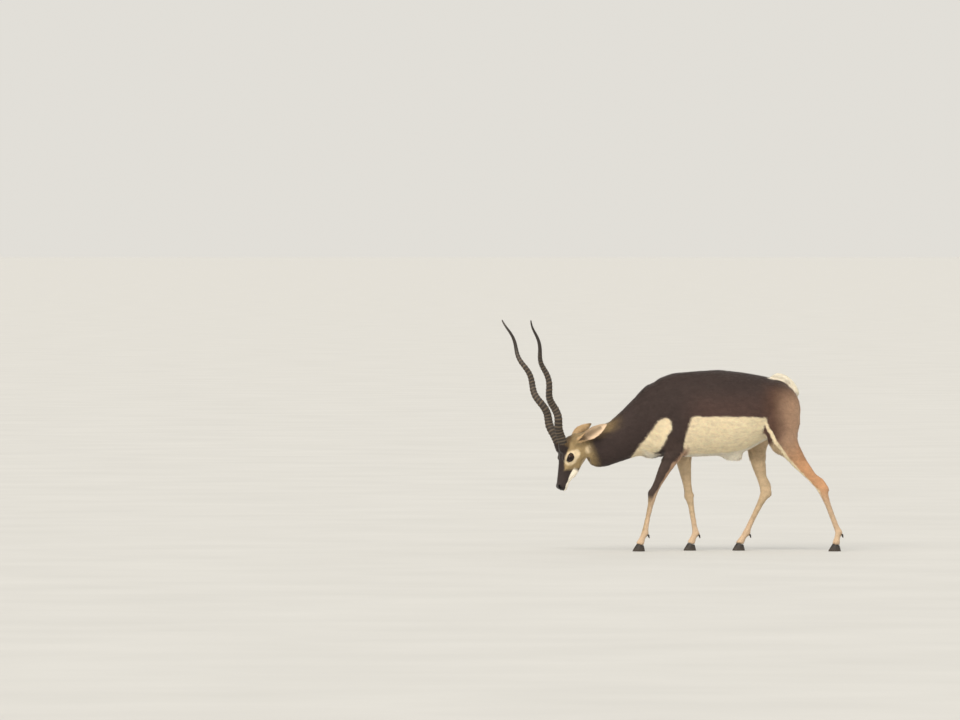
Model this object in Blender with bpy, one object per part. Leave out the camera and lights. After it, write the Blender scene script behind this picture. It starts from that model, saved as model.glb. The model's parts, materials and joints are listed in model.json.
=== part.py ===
"""Adult male blackbuck, life size, standing with its head lowered and its horns forward.

The animal faces -X, its left side is -Y, and +Z is up. Its hooves stand on Z = 0.
The flesh is modelled whole from lofted limbs and rounded muscles, then parted with thin cuts.
"""

import collections
import math

import bmesh
import bpy
import numpy as np
from mathutils import Matrix, Vector

# Gaps and mesh fineness, in metres
GAP = 0.0004
VOXEL = 0.0042
BODY_TRIANGLES = 5500
HEAD_TRIANGLES = 3050

# The two sides, as signs of Y, and the names that the nodes carry
LEFT, RIGHT = -1, 1
SIDE_NAMES = {LEFT: "left", RIGHT: "right"}

# Trunk, in metres above the floor and along the body
WITHERS_HEIGHT = 0.790
BACK_HEIGHT = 0.800
BRISKET_HEIGHT = 0.414
CHEST_HALF_WIDTH = 0.103
BELLY_HALF_WIDTH = 0.118

# Each trunk ring: place along X, top, bottom, half width, and how far down its widest line lies
TRUNK_RINGS = (
    (-0.150, 0.620, 0.432, 0.048, 0.50),
    (-0.110, 0.716, 0.417, 0.074, 0.54),
    (-0.060, 0.762, BRISKET_HEIGHT + 0.002, 0.088, 0.55),
    (0.000, 0.785, BRISKET_HEIGHT, 0.096, 0.56),
    (0.060, WITHERS_HEIGHT, BRISKET_HEIGHT, CHEST_HALF_WIDTH, 0.58),
    (0.130, 0.796, 0.415, 0.110, 0.58),
    (0.205, BACK_HEIGHT, 0.419, BELLY_HALF_WIDTH, 0.57),
    (0.275, 0.793, 0.424, BELLY_HALF_WIDTH, 0.56),
    (0.335, 0.785, 0.440, 0.111, 0.54),
    (0.390, 0.775, 0.470, 0.100, 0.50),
    (0.440, 0.764, 0.500, 0.090, 0.46),
    (0.490, 0.750, 0.530, 0.080, 0.44),
    (0.532, 0.716, 0.545, 0.064, 0.44),
    (0.558, 0.668, 0.570, 0.036, 0.46),
)

# Head, in its own frame: nose towards -X, crown towards +Z, origin where it hinges on the neck
HEAD_ORIGIN = Vector((-0.412, -0.032, 0.490))
HEAD_PITCH = math.radians(63.0)
HEAD_TURN = math.radians(20.0)
# Each head ring: place along the head, top, bottom, half width, widest line as a share of the depth
HEAD_RINGS = (
    (-0.2340, -0.0130, -0.0350, 0.0130, 0.50),
    (-0.2290, -0.0050, -0.0430, 0.0200, 0.50),
    (-0.2180, 0.0005, -0.0470, 0.0235, 0.50),
    (-0.2000, 0.0075, -0.0485, 0.0250, 0.52),
    (-0.1780, 0.0160, -0.0505, 0.0262, 0.54),
    (-0.1500, 0.0270, -0.0545, 0.0285, 0.55),
    (-0.1250, 0.0370, -0.0590, 0.0325, 0.55),
    (-0.1000, 0.0470, -0.0640, 0.0380, 0.46),
    (-0.0700, 0.0555, -0.0690, 0.0410, 0.42),
    (-0.0400, 0.0530, -0.0720, 0.0420, 0.42),
    (-0.0100, 0.0420, -0.0680, 0.0410, 0.44),
    (0.0200, 0.0340, -0.0600, 0.0390, 0.46),
)
EYE_PLACE = Vector((-0.0930, 0.0370, 0.0120))
EYE_RADIUS = 0.0185
EYE_HALF_LENGTH = 0.0165
EYE_HALF_HEIGHT = 0.0118
EYE_SLANT = 12.0
LID_THICKNESS = 0.0016
HORN_PLACE = Vector((-0.0600, 0.0240, 0.0560))
EAR_PLACE = Vector((-0.0130, 0.0400, 0.0120))
NOSTRIL_PLACE = Vector((-0.2260, 0.0130, -0.0150))
MOUTH_FRONT = -0.2280
MOUTH_ROUND = 0.0150
MOUTH_LENGTH = 0.0480
MOUTH_HALF_WIDTH = 0.0190
MOUTH_HEIGHT = -0.0335
MOUTH_DEPTH = 0.0045
MOUTH_GAPE = 0.0016

# Horns: an open corkscrew round a leaning axis
HORN_RISE = math.radians(47.35)
HORN_SPLAY = math.radians(14.8)
HORN_HEIGHT = 0.597
HORN_TURNS = 3.35
HORN_COIL_RADIUS = 0.0092
HORN_BASE_RADIUS = 0.0182
HORN_TIP_RADIUS = 0.0022
HORN_RING_COUNT = 34
HORN_RING_HEIGHT = 0.0016
HORN_SMOOTH_TIP = 0.16
HORN_SIDES = 10
HORN_ROOT_REACH = 0.018
HORN_START = 172.0

# Ears: a leaf rolled into a cup
EAR_LENGTH = 0.132
EAR_WALL = 0.0026
EAR_DIRECTION = Vector((0.735, 0.560, -0.400))
EAR_OPENING = Vector((-0.350, 0.800, 0.300))
EAR_ROOT_REACH = 0.013
EAR_FLOOR = 0.17
EAR_SIDES = 9
# Each ear ring: share of the length, half width, and how far the wall wraps to each side, in degrees
EAR_RINGS = (
    (0.00, 0.0143, 166),
    (0.08, 0.0150, 154),
    (0.18, 0.0172, 134),
    (0.30, 0.0205, 112),
    (0.44, 0.0240, 98),
    (0.58, 0.0245, 88),
    (0.72, 0.0210, 78),
    (0.84, 0.0150, 70),
    (0.93, 0.0090, 62),
    (1.00, 0.0030, 55),
)

# Leg joints: place along X, distance from the middle, height. Each leg runs from its root to its coronet
LEG_JOINTS = {
    ("fore", LEFT): (
        ("root", -0.020, 0.070, 0.545),
        ("elbow", 0.012, 0.074, 0.450),
        ("knee", -0.086, 0.074, 0.250),
        ("fetlock", -0.120, 0.076, 0.082),
        ("coronet", -0.139, 0.077, 0.034),
    ),
    ("fore", RIGHT): (
        ("root", 0.000, 0.070, 0.545),
        ("elbow", 0.046, 0.074, 0.450),
        ("knee", 0.078, 0.072, 0.240),
        ("fetlock", 0.106, 0.070, 0.078),
        ("coronet", 0.088, 0.070, 0.034),
    ),
    ("hind", LEFT): (
        ("root", 0.470, 0.052, 0.640),
        ("stifle", 0.478, 0.082, 0.478),
        ("hock", 0.661, 0.070, 0.268),
        ("fetlock", 0.732, 0.066, 0.084),
        ("coronet", 0.722, 0.066, 0.034),
    ),
    ("hind", RIGHT): (
        ("root", 0.455, 0.052, 0.640),
        ("stifle", 0.352, 0.092, 0.490),
        ("hock", 0.412, 0.074, 0.252),
        ("fetlock", 0.330, 0.068, 0.080),
        ("coronet", 0.303, 0.068, 0.034),
    ),
}

# Leg girths: joint to start from, share of the way to the next, half width, half depth, shift aft
FORE_GIRTHS = (
    ("root", 0.0, 0.020, 0.050, 0.000),
    ("root", 0.5, 0.026, 0.060, 0.002),
    ("elbow", 0.0, 0.028, 0.050, 0.006),
    ("elbow", 0.20, 0.0265, 0.039, 0.002),
    ("elbow", 0.45, 0.0210, 0.0285, 0.000),
    ("elbow", 0.75, 0.0160, 0.0200, 0.000),
    ("elbow", 0.92, 0.0165, 0.0190, 0.000),
    ("knee", 0.00, 0.0180, 0.0205, -0.001),
    ("knee", 0.10, 0.0165, 0.0185, 0.001),
    ("knee", 0.25, 0.0125, 0.0140, 0.002),
    ("knee", 0.55, 0.0108, 0.0125, 0.001),
    ("knee", 0.85, 0.0118, 0.0135, 0.001),
    ("fetlock", 0.00, 0.0150, 0.0168, 0.002),
    ("fetlock", 0.45, 0.0140, 0.0135, 0.000),
    ("coronet", 0.00, 0.0182, 0.0180, 0.000),
    ("coronet", 1.00, 0.0190, 0.0195, 0.000),
)
HIND_GIRTHS = (
    ("root", 0.0, 0.034, 0.078, 0.010),
    ("root", 0.5, 0.042, 0.082, 0.014),
    ("stifle", 0.0, 0.040, 0.060, 0.020),
    ("stifle", 0.20, 0.034, 0.048, 0.014),
    ("stifle", 0.45, 0.0250, 0.0340, 0.006),
    ("stifle", 0.70, 0.0170, 0.0235, 0.004),
    ("stifle", 0.88, 0.0150, 0.0215, 0.005),
    ("hock", 0.00, 0.0185, 0.0245, 0.004),
    ("hock", 0.12, 0.0155, 0.0190, 0.002),
    ("hock", 0.30, 0.0125, 0.0148, 0.001),
    ("hock", 0.60, 0.0112, 0.0132, 0.000),
    ("hock", 0.88, 0.0122, 0.0140, 0.000),
    ("fetlock", 0.00, 0.0152, 0.0172, 0.002),
    ("fetlock", 0.45, 0.0140, 0.0138, 0.000),
    ("coronet", 0.00, 0.0182, 0.0182, 0.000),
    ("coronet", 1.00, 0.0190, 0.0195, 0.000),
)

# Hooves: two claws to a foot
PASTERN_EXCESS = 0.020
CLAW_CLEFT = 0.0016
HOOF_HEIGHT = 0.030
DEWCLAW_LENGTH = 0.017
DEWCLAW_AFT = 0.0165
DEWCLAW_SPREAD = 0.0080
# Each dewclaw ring, and each ring of its socket: share of the length, half width
DEWCLAW_GIRTHS = ((0.0, 0.0050), (0.35, 0.0050), (0.75, 0.0036), (1.0, 0.0014))
DEWCLAW_SOCKET_GIRTHS = ((-0.03, 0.0054), (0.35, 0.0054), (0.75, 0.0041), (1.08, 0.0020))
CORONET_TILT = 14.0
TOE_OUT = 4.0
CLAW_SIDES = 12
# Each claw ring: share of the height of the coronet plane, half length, half width, shift aft, lift
CLAW_RINGS = (
    (0.0, 0.0268, 0.0100, -0.0052, 0.0),
    (0.0, 0.0266, 0.0101, -0.0050, 0.0030),
    (0.55, 0.0208, 0.0098, -0.0018, 0.0),
    (1.0, 0.0150, 0.0090, 0.0010, 0.0),
)

# Where thin cuts part the flesh
LEG_CUTS = {("fore", LEFT): 0.392, ("fore", RIGHT): 0.392, ("hind", LEFT): 0.425, ("hind", RIGHT): 0.405}
NECK_CUT = Vector((-0.160, 0.0, 0.535))
HEAD_CUT = Vector((-0.370, -0.028, 0.440))
HEAD_CUT_NORMAL = Vector((0.90, 0.20, 0.38))

# Tail, curled up and forward so that it lies close on the rump
TAIL_PATH = (
    (0.510, 0.0, 0.652),
    (0.537, 0.0, 0.664),
    (0.550, 0.0, 0.691),
    (0.539, 0.0, 0.722),
    (0.518, 0.0, 0.747),
    (0.493, 0.0, 0.763),
    (0.466, 0.0, 0.770),
    (0.441, 0.0, 0.765),
)
TAIL_GIRTHS = (0.0135, 0.0140, 0.0145, 0.0150, 0.0160, 0.0175, 0.0160, 0.0050)


def head_matrix():
    """The head's frame in the world: lowered about Y, then turned about Z towards its left."""
    pitch = Matrix.Rotation(-HEAD_PITCH, 4, "Y")
    turn = Matrix.Rotation(HEAD_TURN, 4, "Z")
    return Matrix.Translation(HEAD_ORIGIN) @ turn @ pitch


def mirrored(point, side):
    """A point of the head or body that is stated for the +Y side, moved to the side asked for."""
    return Vector((point[0], point[1] * side, point[2]))


def clear_scene():
    for obj in list(bpy.data.objects):
        bpy.data.objects.remove(obj)


def material(name, colour, roughness):
    made = bpy.data.materials.new(name)
    made.use_nodes = True
    shader = made.node_tree.nodes["Principled BSDF"]
    shader.inputs["Base Color"].default_value = (*colour, 1.0)
    shader.inputs["Roughness"].default_value = roughness
    shader.inputs["Metallic"].default_value = 0.0
    return made


def object_of(name, bm, finish=None):
    """Turns a bmesh into an object of the scene and frees it."""
    mesh = bpy.data.meshes.new(name)
    bm.to_mesh(mesh)
    bm.free()
    obj = bpy.data.objects.new(name, mesh)
    bpy.context.scene.collection.objects.link(obj)
    if finish:
        mesh.materials.append(finish)
    return obj


def bake_modifiers(obj):
    """Replaces the object's mesh by what its modifiers make of it."""
    graph = bpy.context.evaluated_depsgraph_get()
    made = bpy.data.meshes.new_from_object(obj.evaluated_get(graph))
    obj.modifiers.clear()
    obj.data = made


def loft(bm, rings):
    """Skins a closed tube over rings of equally many points, each a list of vectors, and caps both ends."""
    loops = []
    for ring in rings:
        made = bmesh.ops.create_circle(bm, cap_ends=False, segments=len(ring), radius=1.0)
        for vert, place in zip(made["verts"], ring):
            vert.co = place
        edges = {edge for vert in made["verts"] for edge in vert.link_edges}
        loops.append(list(edges))
    for below, above in zip(loops, loops[1:]):
        bmesh.ops.bridge_loops(bm, edges=below + above)
    for end in (loops[0], loops[-1]):
        bmesh.ops.contextual_create(bm, geom=end)


def egg_ring(top, bottom, half_width, widest, sides, place):
    """A ring across a body, round above and below its widest line, which lies the share widest down its depth.

    place turns (across, up) into a point of the ring's plane."""
    middle = top + (bottom - top) * widest
    points = []
    for k in range(sides):
        turn = math.tau * k / sides
        across = half_width * math.cos(turn)
        reach = (top - middle) if math.sin(turn) >= 0 else (middle - bottom)
        points.append(place(across, middle + reach * math.sin(turn)))
    return points


def bump(bm, centre, radii, tilt=0.0, matrix=None, lean_in=0.0):
    """A rounded muscle or bone: an ellipsoid tilted in the side view, its top leant towards the middle."""
    made = bmesh.ops.create_uvsphere(bm, u_segments=20, v_segments=14, radius=1.0)
    size = Matrix.Diagonal((*radii, 1.0))
    lean = Matrix.Rotation(math.radians(tilt), 4, "Y")
    swing = Matrix.Rotation(math.copysign(math.radians(lean_in), centre[1]), 4, "X")
    place = Matrix.Translation(Vector(centre)) @ swing @ lean @ size
    bmesh.ops.transform(bm, matrix=(matrix or Matrix()) @ place, verts=made["verts"])


def add_trunk(bm):
    rings = []
    for along, top, bottom, half_width, widest in TRUNK_RINGS:
        rings.append(
            egg_ring(top, bottom, half_width, widest, 28, lambda across, up, x=along: Vector((x, across, up)))
        )
    loft(bm, rings)
    # Sternum, belly sheath and scrotum
    bump(bm, (-0.085, 0.0, 0.470), (0.075, 0.052, 0.062), tilt=-20)
    bump(bm, (0.262, 0.0, 0.419), (0.056, 0.019, 0.022), tilt=6)
    bump(bm, (0.468, 0.0, 0.500), (0.024, 0.022, 0.036), tilt=-12)


def add_shoulders(bm):
    for side in (LEFT, RIGHT):
        bump(bm, (0.032, 0.064 * side, 0.640), (0.062, 0.034, 0.120), tilt=-22, lean_in=14)
        bump(bm, (-0.055, 0.058 * side, 0.550), (0.052, 0.036, 0.075), tilt=-25)
        bump(bm, (0.026, 0.072 * side, 0.530), (0.066, 0.032, 0.090), tilt=24)
        bump(bm, (-0.050, 0.046 * side, 0.486), (0.056, 0.036, 0.056))
        bump(bm, (0.016, 0.070 * side, 0.470), (0.050, 0.030, 0.050))


def add_haunches(bm):
    for side in (LEFT, RIGHT):
        stifle = dict_of_joints("hind", side)["stifle"]
        bump(bm, (0.430, 0.050 * side, 0.672), (0.105, 0.046, 0.076), tilt=18, lean_in=12)
        bump(bm, (0.502, 0.048 * side, 0.630), (0.068, 0.042, 0.100), tilt=-8)
        middle = (Vector((0.488, 0.058 * side, 0.620)) + stifle) / 2
        lean = math.degrees(math.atan2(stifle.x - 0.488, 0.620 - stifle.z))
        bump(bm, middle, (0.076, 0.040, 0.130), tilt=-lean)
        bump(bm, stifle + Vector((-0.006, -0.006 * side, 0.010)), (0.034, 0.032, 0.058), tilt=-lean)
        bump(bm, (stifle.x - 0.034, 0.058 * side, 0.560), (0.046, 0.034, 0.056))


def dict_of_joints(kind, side):
    """The leg's joints by name, as points."""
    return {name: Vector((x, y * side, z)) for name, x, y, z in LEG_JOINTS[kind, side]}


def leg_stations(kind, side):
    """Centre, direction, half width and half depth of each ring of a leg, from its root to its coronet."""
    joints = LEG_JOINTS[kind, side]
    names = [joint[0] for joint in joints]
    points = [Vector((x, y * side, z)) for _, x, y, z in joints]
    points.append(points[-1] + (points[-1] - points[-2]).normalized() * PASTERN_EXCESS)
    stations = []
    for start, share, half_width, half_depth, aft in FORE_GIRTHS if kind == "fore" else HIND_GIRTHS:
        k = names.index(start)
        ahead = points[k + 1]
        centre = points[k].lerp(ahead, share)
        before = points[max(k - 1, 0)]
        into = (points[k] - before).normalized() if k else Vector()
        out = (ahead - points[k]).normalized()
        blend = min(1.0, 0.5 + share * 2.5)
        direction = (into * (1 - blend) + out * blend).normalized()
        stations.append((centre, direction, half_width, half_depth, aft))
    return stations


def add_leg(bm, kind, side):
    rings = []
    for centre, direction, half_width, half_depth, aft in leg_stations(kind, side):
        across = Vector((0.0, 1.0, 0.0))
        rearwards = across.cross(direction).normalized()
        if rearwards.x < 0:
            rearwards.negate()
        across = direction.cross(rearwards).normalized()
        middle = centre + rearwards * aft
        ring = []
        for k in range(20):
            turn = math.tau * k / 20
            reach = across * half_width * math.cos(turn) + rearwards * half_depth * math.sin(turn)
            ring.append(middle + reach)
        rings.append(ring)
    loft(bm, rings)
    joints = dict_of_joints(kind, side)
    if kind == "fore":
        elbow, knee = joints["elbow"], joints["knee"]
        down = (knee - elbow).normalized()
        bump(bm, elbow + Vector((0.034, 0.0, 0.020)), (0.022, 0.016, 0.030), tilt=20)
        bump(bm, knee - down * 0.004 + Vector((-0.004, 0.0, 0.0)), (0.0190, 0.0185, 0.0230))
        bump(bm, knee + Vector((0.014, 0.0, 0.004)), (0.0100, 0.0120, 0.0150))
    else:
        hock, stifle = joints["hock"], joints["stifle"]
        down = (hock - stifle).normalized()
        rearwards = Vector((0.0, 1.0, 0.0)).cross(down).normalized()
        rearwards = rearwards if rearwards.x > 0 else -rearwards
        lean = math.degrees(math.atan2(down.x, -down.z))
        bump(bm, hock - down * 0.030 + rearwards * 0.026, (0.0100, 0.0095, 0.0330), tilt=-lean)
        bump(bm, hock + rearwards * 0.016, (0.0160, 0.0150, 0.0240), tilt=-lean)
    fetlock = joints["fetlock"]
    bump(bm, fetlock + Vector((0.009, 0.0, -0.004)), (0.0120, 0.0135, 0.0140))


def neck_rings():
    """Centre, direction, half width and half depth down the neck, from the skull to inside the chest."""
    skull = head_matrix() @ Vector((-0.010, 0.0, -0.014))
    return (
        (skull, Vector((0.60, 0.25, 0.75)), 0.040, 0.052),
        (Vector((-0.3915, -0.028, 0.4465)), Vector((0.86, 0.20, 0.47)), 0.0415, 0.079),
        (Vector((-0.361, -0.023, 0.447)), Vector((0.86, 0.17, 0.44)), 0.0465, 0.087),
        (Vector((-0.312, -0.017, 0.457)), Vector((0.93, 0.12, 0.30)), 0.0505, 0.088),
        (Vector((-0.241, -0.008, 0.485)), Vector((0.92, 0.08, 0.38)), 0.0560, 0.093),
        (Vector((-0.175, -0.003, 0.521)), Vector((0.90, 0.04, 0.44)), 0.0630, 0.110),
        (Vector((-0.112, 0.0, 0.558)), Vector((0.88, 0.0, 0.47)), 0.0720, 0.128),
        (Vector((-0.050, 0.0, 0.594)), Vector((0.90, 0.0, 0.43)), 0.0820, 0.152),
        (Vector((0.010, 0.0, 0.610)), Vector((0.95, 0.0, 0.30)), 0.0860, 0.155),
    )


def add_neck(bm):
    rings = []
    for centre, direction, half_width, half_depth in neck_rings():
        direction = direction.normalized()
        across = Vector((0.0, 0.0, 1.0)).cross(direction).normalized()
        up = direction.cross(across).normalized()
        rings.append(
            [
                centre + across * half_width * math.cos(turn) + up * half_depth * math.sin(turn)
                for turn in (math.tau * k / 28 for k in range(28))
            ]
        )
    loft(bm, rings)


def add_head(bm):
    matrix = head_matrix()
    rings = []
    for along, top, bottom, half_width, widest in HEAD_RINGS:
        rings.append(
            egg_ring(
                top,
                bottom,
                half_width,
                widest,
                24,
                lambda across, up, x=along: matrix @ Vector((x, across, up)),
            )
        )
    loft(bm, rings)
    for side in (LEFT, RIGHT):
        # Cheek, jaw, brow, socket rim, lip and horn and ear roots
        bump(bm, (-0.045, 0.030 * side, -0.030), (0.042, 0.016, 0.034), tilt=18, matrix=matrix)
        bump(bm, (-0.110, 0.018 * side, -0.042), (0.060, 0.014, 0.018), tilt=-4, matrix=matrix)
        bump(bm, mirrored((-0.086, 0.0310, 0.0280), side), (0.034, 0.0150, 0.0140), tilt=8, matrix=matrix)
        bump(bm, mirrored((-0.088, 0.0320, 0.0100), side), (0.034, 0.0175, 0.0260), matrix=matrix)
        bump(bm, mirrored((-0.112, 0.0265, -0.0080), side), (0.046, 0.0110, 0.0130), tilt=14, matrix=matrix)
        bump(bm, mirrored((-0.212, 0.0125, -0.0265), side), (0.020, 0.0135, 0.0140), tilt=-6, matrix=matrix)
        bump(bm, mirrored((-0.221, 0.0115, -0.0110), side), (0.012, 0.0110, 0.0100), matrix=matrix)
        add_stub(bm, side, HORN_PLACE, horn_direction(side), 0.0215, 0.022, matrix)
        add_stub(bm, side, EAR_PLACE, mirrored(EAR_DIRECTION, side).normalized(), 0.0150, 0.020, matrix)
    bump(bm, (-0.213, 0.0, -0.043), (0.018, 0.0155, 0.0095), tilt=-8, matrix=matrix)
    bump(bm, (-0.040, 0.0, 0.038), (0.045, 0.030, 0.022), tilt=10, matrix=matrix)


def add_stub(bm, side, place, direction, radius, reach, matrix):
    """A short root that a horn or an ear grows from, later cut off flat."""
    made = bmesh.ops.create_cone(
        bm, cap_ends=True, segments=20, radius1=radius * 1.15, radius2=radius, depth=reach * 2
    )
    turn = direction.to_track_quat("Z", "Y").to_matrix().to_4x4()
    place = Matrix.Translation(mirrored(place, side)) @ turn
    bmesh.ops.transform(bm, matrix=matrix @ place, verts=made["verts"])


def horn_direction(side):
    """The way a horn's axis leans, in the head's frame."""
    back = math.cos(HORN_RISE) * math.cos(HORN_SPLAY)
    up = math.sin(HORN_RISE) * math.cos(HORN_SPLAY)
    return Vector((back, math.sin(HORN_SPLAY) * side, up))


def build_flesh():
    """The whole animal without horns, ears, eyes and hooves, as one smooth closed surface."""
    bm = bmesh.new()
    add_trunk(bm)
    add_shoulders(bm)
    add_haunches(bm)
    add_neck(bm)
    add_head(bm)
    for kind, side in LEG_JOINTS:
        add_leg(bm, kind, side)
    bmesh.ops.recalc_face_normals(bm, faces=bm.faces)
    return object_of("flesh", bm)


def tail_frame(reach):
    """The tail's middle, direction and girth at a share of its length, on a smooth curve through its path."""
    points = [Vector(p) for p in TAIL_PATH]
    place = reach * (len(points) - 1)
    k = min(int(place), len(points) - 2)
    share = place - k
    before, here, ahead, beyond = (points[min(max(k + n, 0), len(points) - 1)] for n in (-1, 0, 1, 2))
    run_in, run_out = (ahead - before) / 2, (beyond - here) / 2
    cube, square = share**3, share**2
    centre = (
        here * (2 * cube - 3 * square + 1)
        + run_in * (cube - 2 * square + share)
        + ahead * (3 * square - 2 * cube)
        + run_out * (cube - square)
    )
    direction = (
        here * (6 * square - 6 * share)
        + run_in * (3 * square - 4 * share + 1)
        + ahead * (6 * share - 6 * square)
        + run_out * (3 * square - 2 * share)
    ).normalized()
    girth = TAIL_GIRTHS[k] + (TAIL_GIRTHS[k + 1] - TAIL_GIRTHS[k]) * share
    return centre, direction, girth


def tail_rings(extra, steps, sides):
    """Rings along the whole tail, grown by extra."""
    rings = []
    for k in range(steps):
        reach = k / (steps - 1)
        centre, direction, girth = tail_frame(reach)
        centre = centre + direction * (extra * (2.0 * reach - 1.0))
        across = Vector((0.0, 1.0, 0.0))
        up = direction.cross(across).normalized()
        half_width, half_depth = girth * 1.20 + extra, girth * 0.72 + extra
        rings.append(
            [
                centre + across * half_width * math.cos(turn) + up * half_depth * math.sin(turn)
                for turn in (math.tau * n / sides for n in range(sides))
            ]
        )
    return rings


def tail_solid(name, extra, finish=None):
    """The tail as one closed tube: the tail itself, or a grown copy that cuts its bed in the rump."""
    bm = bmesh.new()
    loft(bm, tail_rings(extra, 18, 16))
    bmesh.ops.recalc_face_normals(bm, faces=bm.faces)
    return object_of(name, bm, finish)


def positions(mesh):
    places = np.empty(len(mesh.vertices) * 3)
    mesh.vertices.foreach_get("co", places)
    return places.reshape(-1, 3)


def weight_vertices(obj, name, weights):
    """Stores a weight for every vertex as a vertex group, in sixteen steps."""
    group = obj.vertex_groups.new(name=name)
    steps = np.round(np.clip(weights, 0.0, 1.0) * 16).astype(int)
    for step in range(1, 17):
        chosen = np.flatnonzero(steps == step)
        if len(chosen):
            group.add(chosen.tolist(), step / 16, "REPLACE")


def ramp(values, start, end):
    """0 before start and 1 past end, with an easy run between. It also runs backwards."""
    share = np.clip((values - start) / (end - start), 0.0, 1.0)
    return share * share * (3.0 - 2.0 * share)


def soften_trunk(obj):
    """Melts the muscles of the trunk into each other, and leaves the head and the lower legs crisp."""
    places = positions(obj.data)
    weights = ramp(places[:, 2], 0.36, 0.45) * ramp(places[:, 0], -0.36, -0.24)
    weight_vertices(obj, "trunk", weights)
    weight_vertices(obj, "skull", in_head(places) * ramp(places[:, 2], 0.30, 0.36))
    for name, group, rounds in (("Melt", "trunk", 110), ("Settle", "skull", 9), ("Smooth", "", 4)):
        smooth = obj.modifiers.new(name, "SMOOTH")
        smooth.factor = 0.5
        smooth.iterations = rounds
        smooth.vertex_group = group
    bake_modifiers(obj)
    obj.vertex_groups.clear()


def refine_head(obj):
    """Splits the faces of the head once more, so that its lids and lips can be shaped."""
    inside = in_head(positions(obj.data), 0.003)
    bm = bmesh.new()
    bm.from_mesh(obj.data)
    near = [edge for edge in bm.edges if all(inside[vert.index] for vert in edge.verts)]
    bmesh.ops.subdivide_edges(bm, edges=near, cuts=1, use_grid_fill=True, smooth=0.6)
    bmesh.ops.triangulate(bm, faces=bm.faces)
    bm.to_mesh(obj.data)
    bm.free()


def in_head(places, margin=0.0):
    """Whether each point lies on the skull's side of the plane that parts the head from the neck."""
    back = np.linalg.inv(np.array(head_matrix()))
    along = places @ back[0, :3] + back[0, 3]
    past = (places - np.array(HEAD_CUT)) @ np.array(HEAD_CUT_NORMAL.normalized())
    return (along < 0.070) & (past < margin)


def shape_lids(obj):
    """Opens an almond in the skin over each eye and raises the lids round it."""
    matrix = np.array(head_matrix())
    back = np.linalg.inv(matrix)
    places = positions(obj.data)
    local = places @ back[:3, :3].T + back[:3, 3]
    for side in (LEFT, RIGHT):
        centre = np.array(mirrored(EYE_PLACE, side))
        offset = local - centre
        facing = offset[:, 1] * side > 0.001
        slant = math.radians(EYE_SLANT)
        along = offset[:, 0] * math.cos(slant) + offset[:, 2] * math.sin(slant)
        above = offset[:, 2] * math.cos(slant) - offset[:, 0] * math.sin(slant)
        reach = (np.abs(along / EYE_HALF_LENGTH) ** 1.7 + np.abs(above / EYE_HALF_HEIGHT) ** 1.7) ** (1 / 1.7)
        distance = np.linalg.norm(offset, axis=1)
        inside = facing & (reach < 1.02) & (distance > 1e-6)
        lid = facing & (reach >= 1.02) & (reach < 2.1) & (distance > 1e-6)
        pit = EYE_RADIUS - 0.0035
        scale = np.ones(len(local))
        scale[inside] = np.minimum(1.0, pit / distance[inside])
        brim = EYE_RADIUS + LID_THICKNESS
        hold = 1.0 - ramp(reach[lid], 1.25, 2.1)
        scale[lid] = 1.0 + (brim / distance[lid] - 1.0) * hold
        local = centre + offset * scale[:, None]
    places = local @ matrix[:3, :3].T + matrix[:3, 3]
    obj.data.vertices.foreach_set("co", places.ravel())
    obj.data.update()


def decimate_flesh(obj):
    """Brings the body and then the head to their counts of triangles, with more of them spent on the feet."""
    for name, wanted in (("body", BODY_TRIANGLES), ("head", HEAD_TRIANGLES)):
        places = positions(obj.data)
        head = in_head(places, 0.004)
        faces = np.array([face.vertices[0] for face in obj.data.polygons])
        kept = int((head[faces] if name == "body" else ~head[faces]).sum())
        trunk = ramp(places[:, 2], 0.36, 0.46)
        for along, height in ((0.468, 0.490), (0.262, 0.410)):
            reach = np.hypot(places[:, 0] - along, places[:, 2] - height) + np.abs(places[:, 1])
            trunk = np.minimum(trunk, ramp(reach, 0.045, 0.075))
        eye = np.ones(len(places))
        for side in (LEFT, RIGHT):
            centre = np.array(head_matrix() @ mirrored(EYE_PLACE, side))
            eye = np.minimum(eye, ramp(np.linalg.norm(places - centre, axis=1), 0.022, 0.034))
        weights = ~head * (0.35 + 0.40 * trunk) if name == "body" else head * (0.40 + 0.22 * eye)
        weight_vertices(obj, name, weights)
        lighter = obj.modifiers.new("Decimate", "DECIMATE")
        lighter.ratio = (kept + wanted) / len(obj.data.polygons)
        lighter.vertex_group = name
        lighter.use_collapse_triangulate = True
        bake_modifiers(obj)
        obj.vertex_groups.clear()


def boolean(obj, operation, other, solver="EXACT"):
    cut = obj.modifiers.new("Boolean", "BOOLEAN")
    cut.operation = operation
    cut.solver = solver
    cut.object = other
    bake_modifiers(obj)
    bpy.data.objects.remove(other)


def add_slab(bm, centre, normal, half_along, half_across):
    """A thin plate whose faces part two nodes: centred on a point and square to a direction."""
    made = bmesh.ops.create_cube(bm, size=2.0)
    normal = Vector(normal).normalized()
    across = (Vector((0.0, 1.0, 0.0)) - normal * normal.y).normalized()
    turn = Matrix((across.cross(normal), across, normal)).transposed().to_4x4()
    size = Matrix.Diagonal((half_along, half_across, GAP / 2, 1.0))
    bmesh.ops.transform(bm, matrix=Matrix.Translation(Vector(centre)) @ turn @ size, verts=made["verts"])


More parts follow.
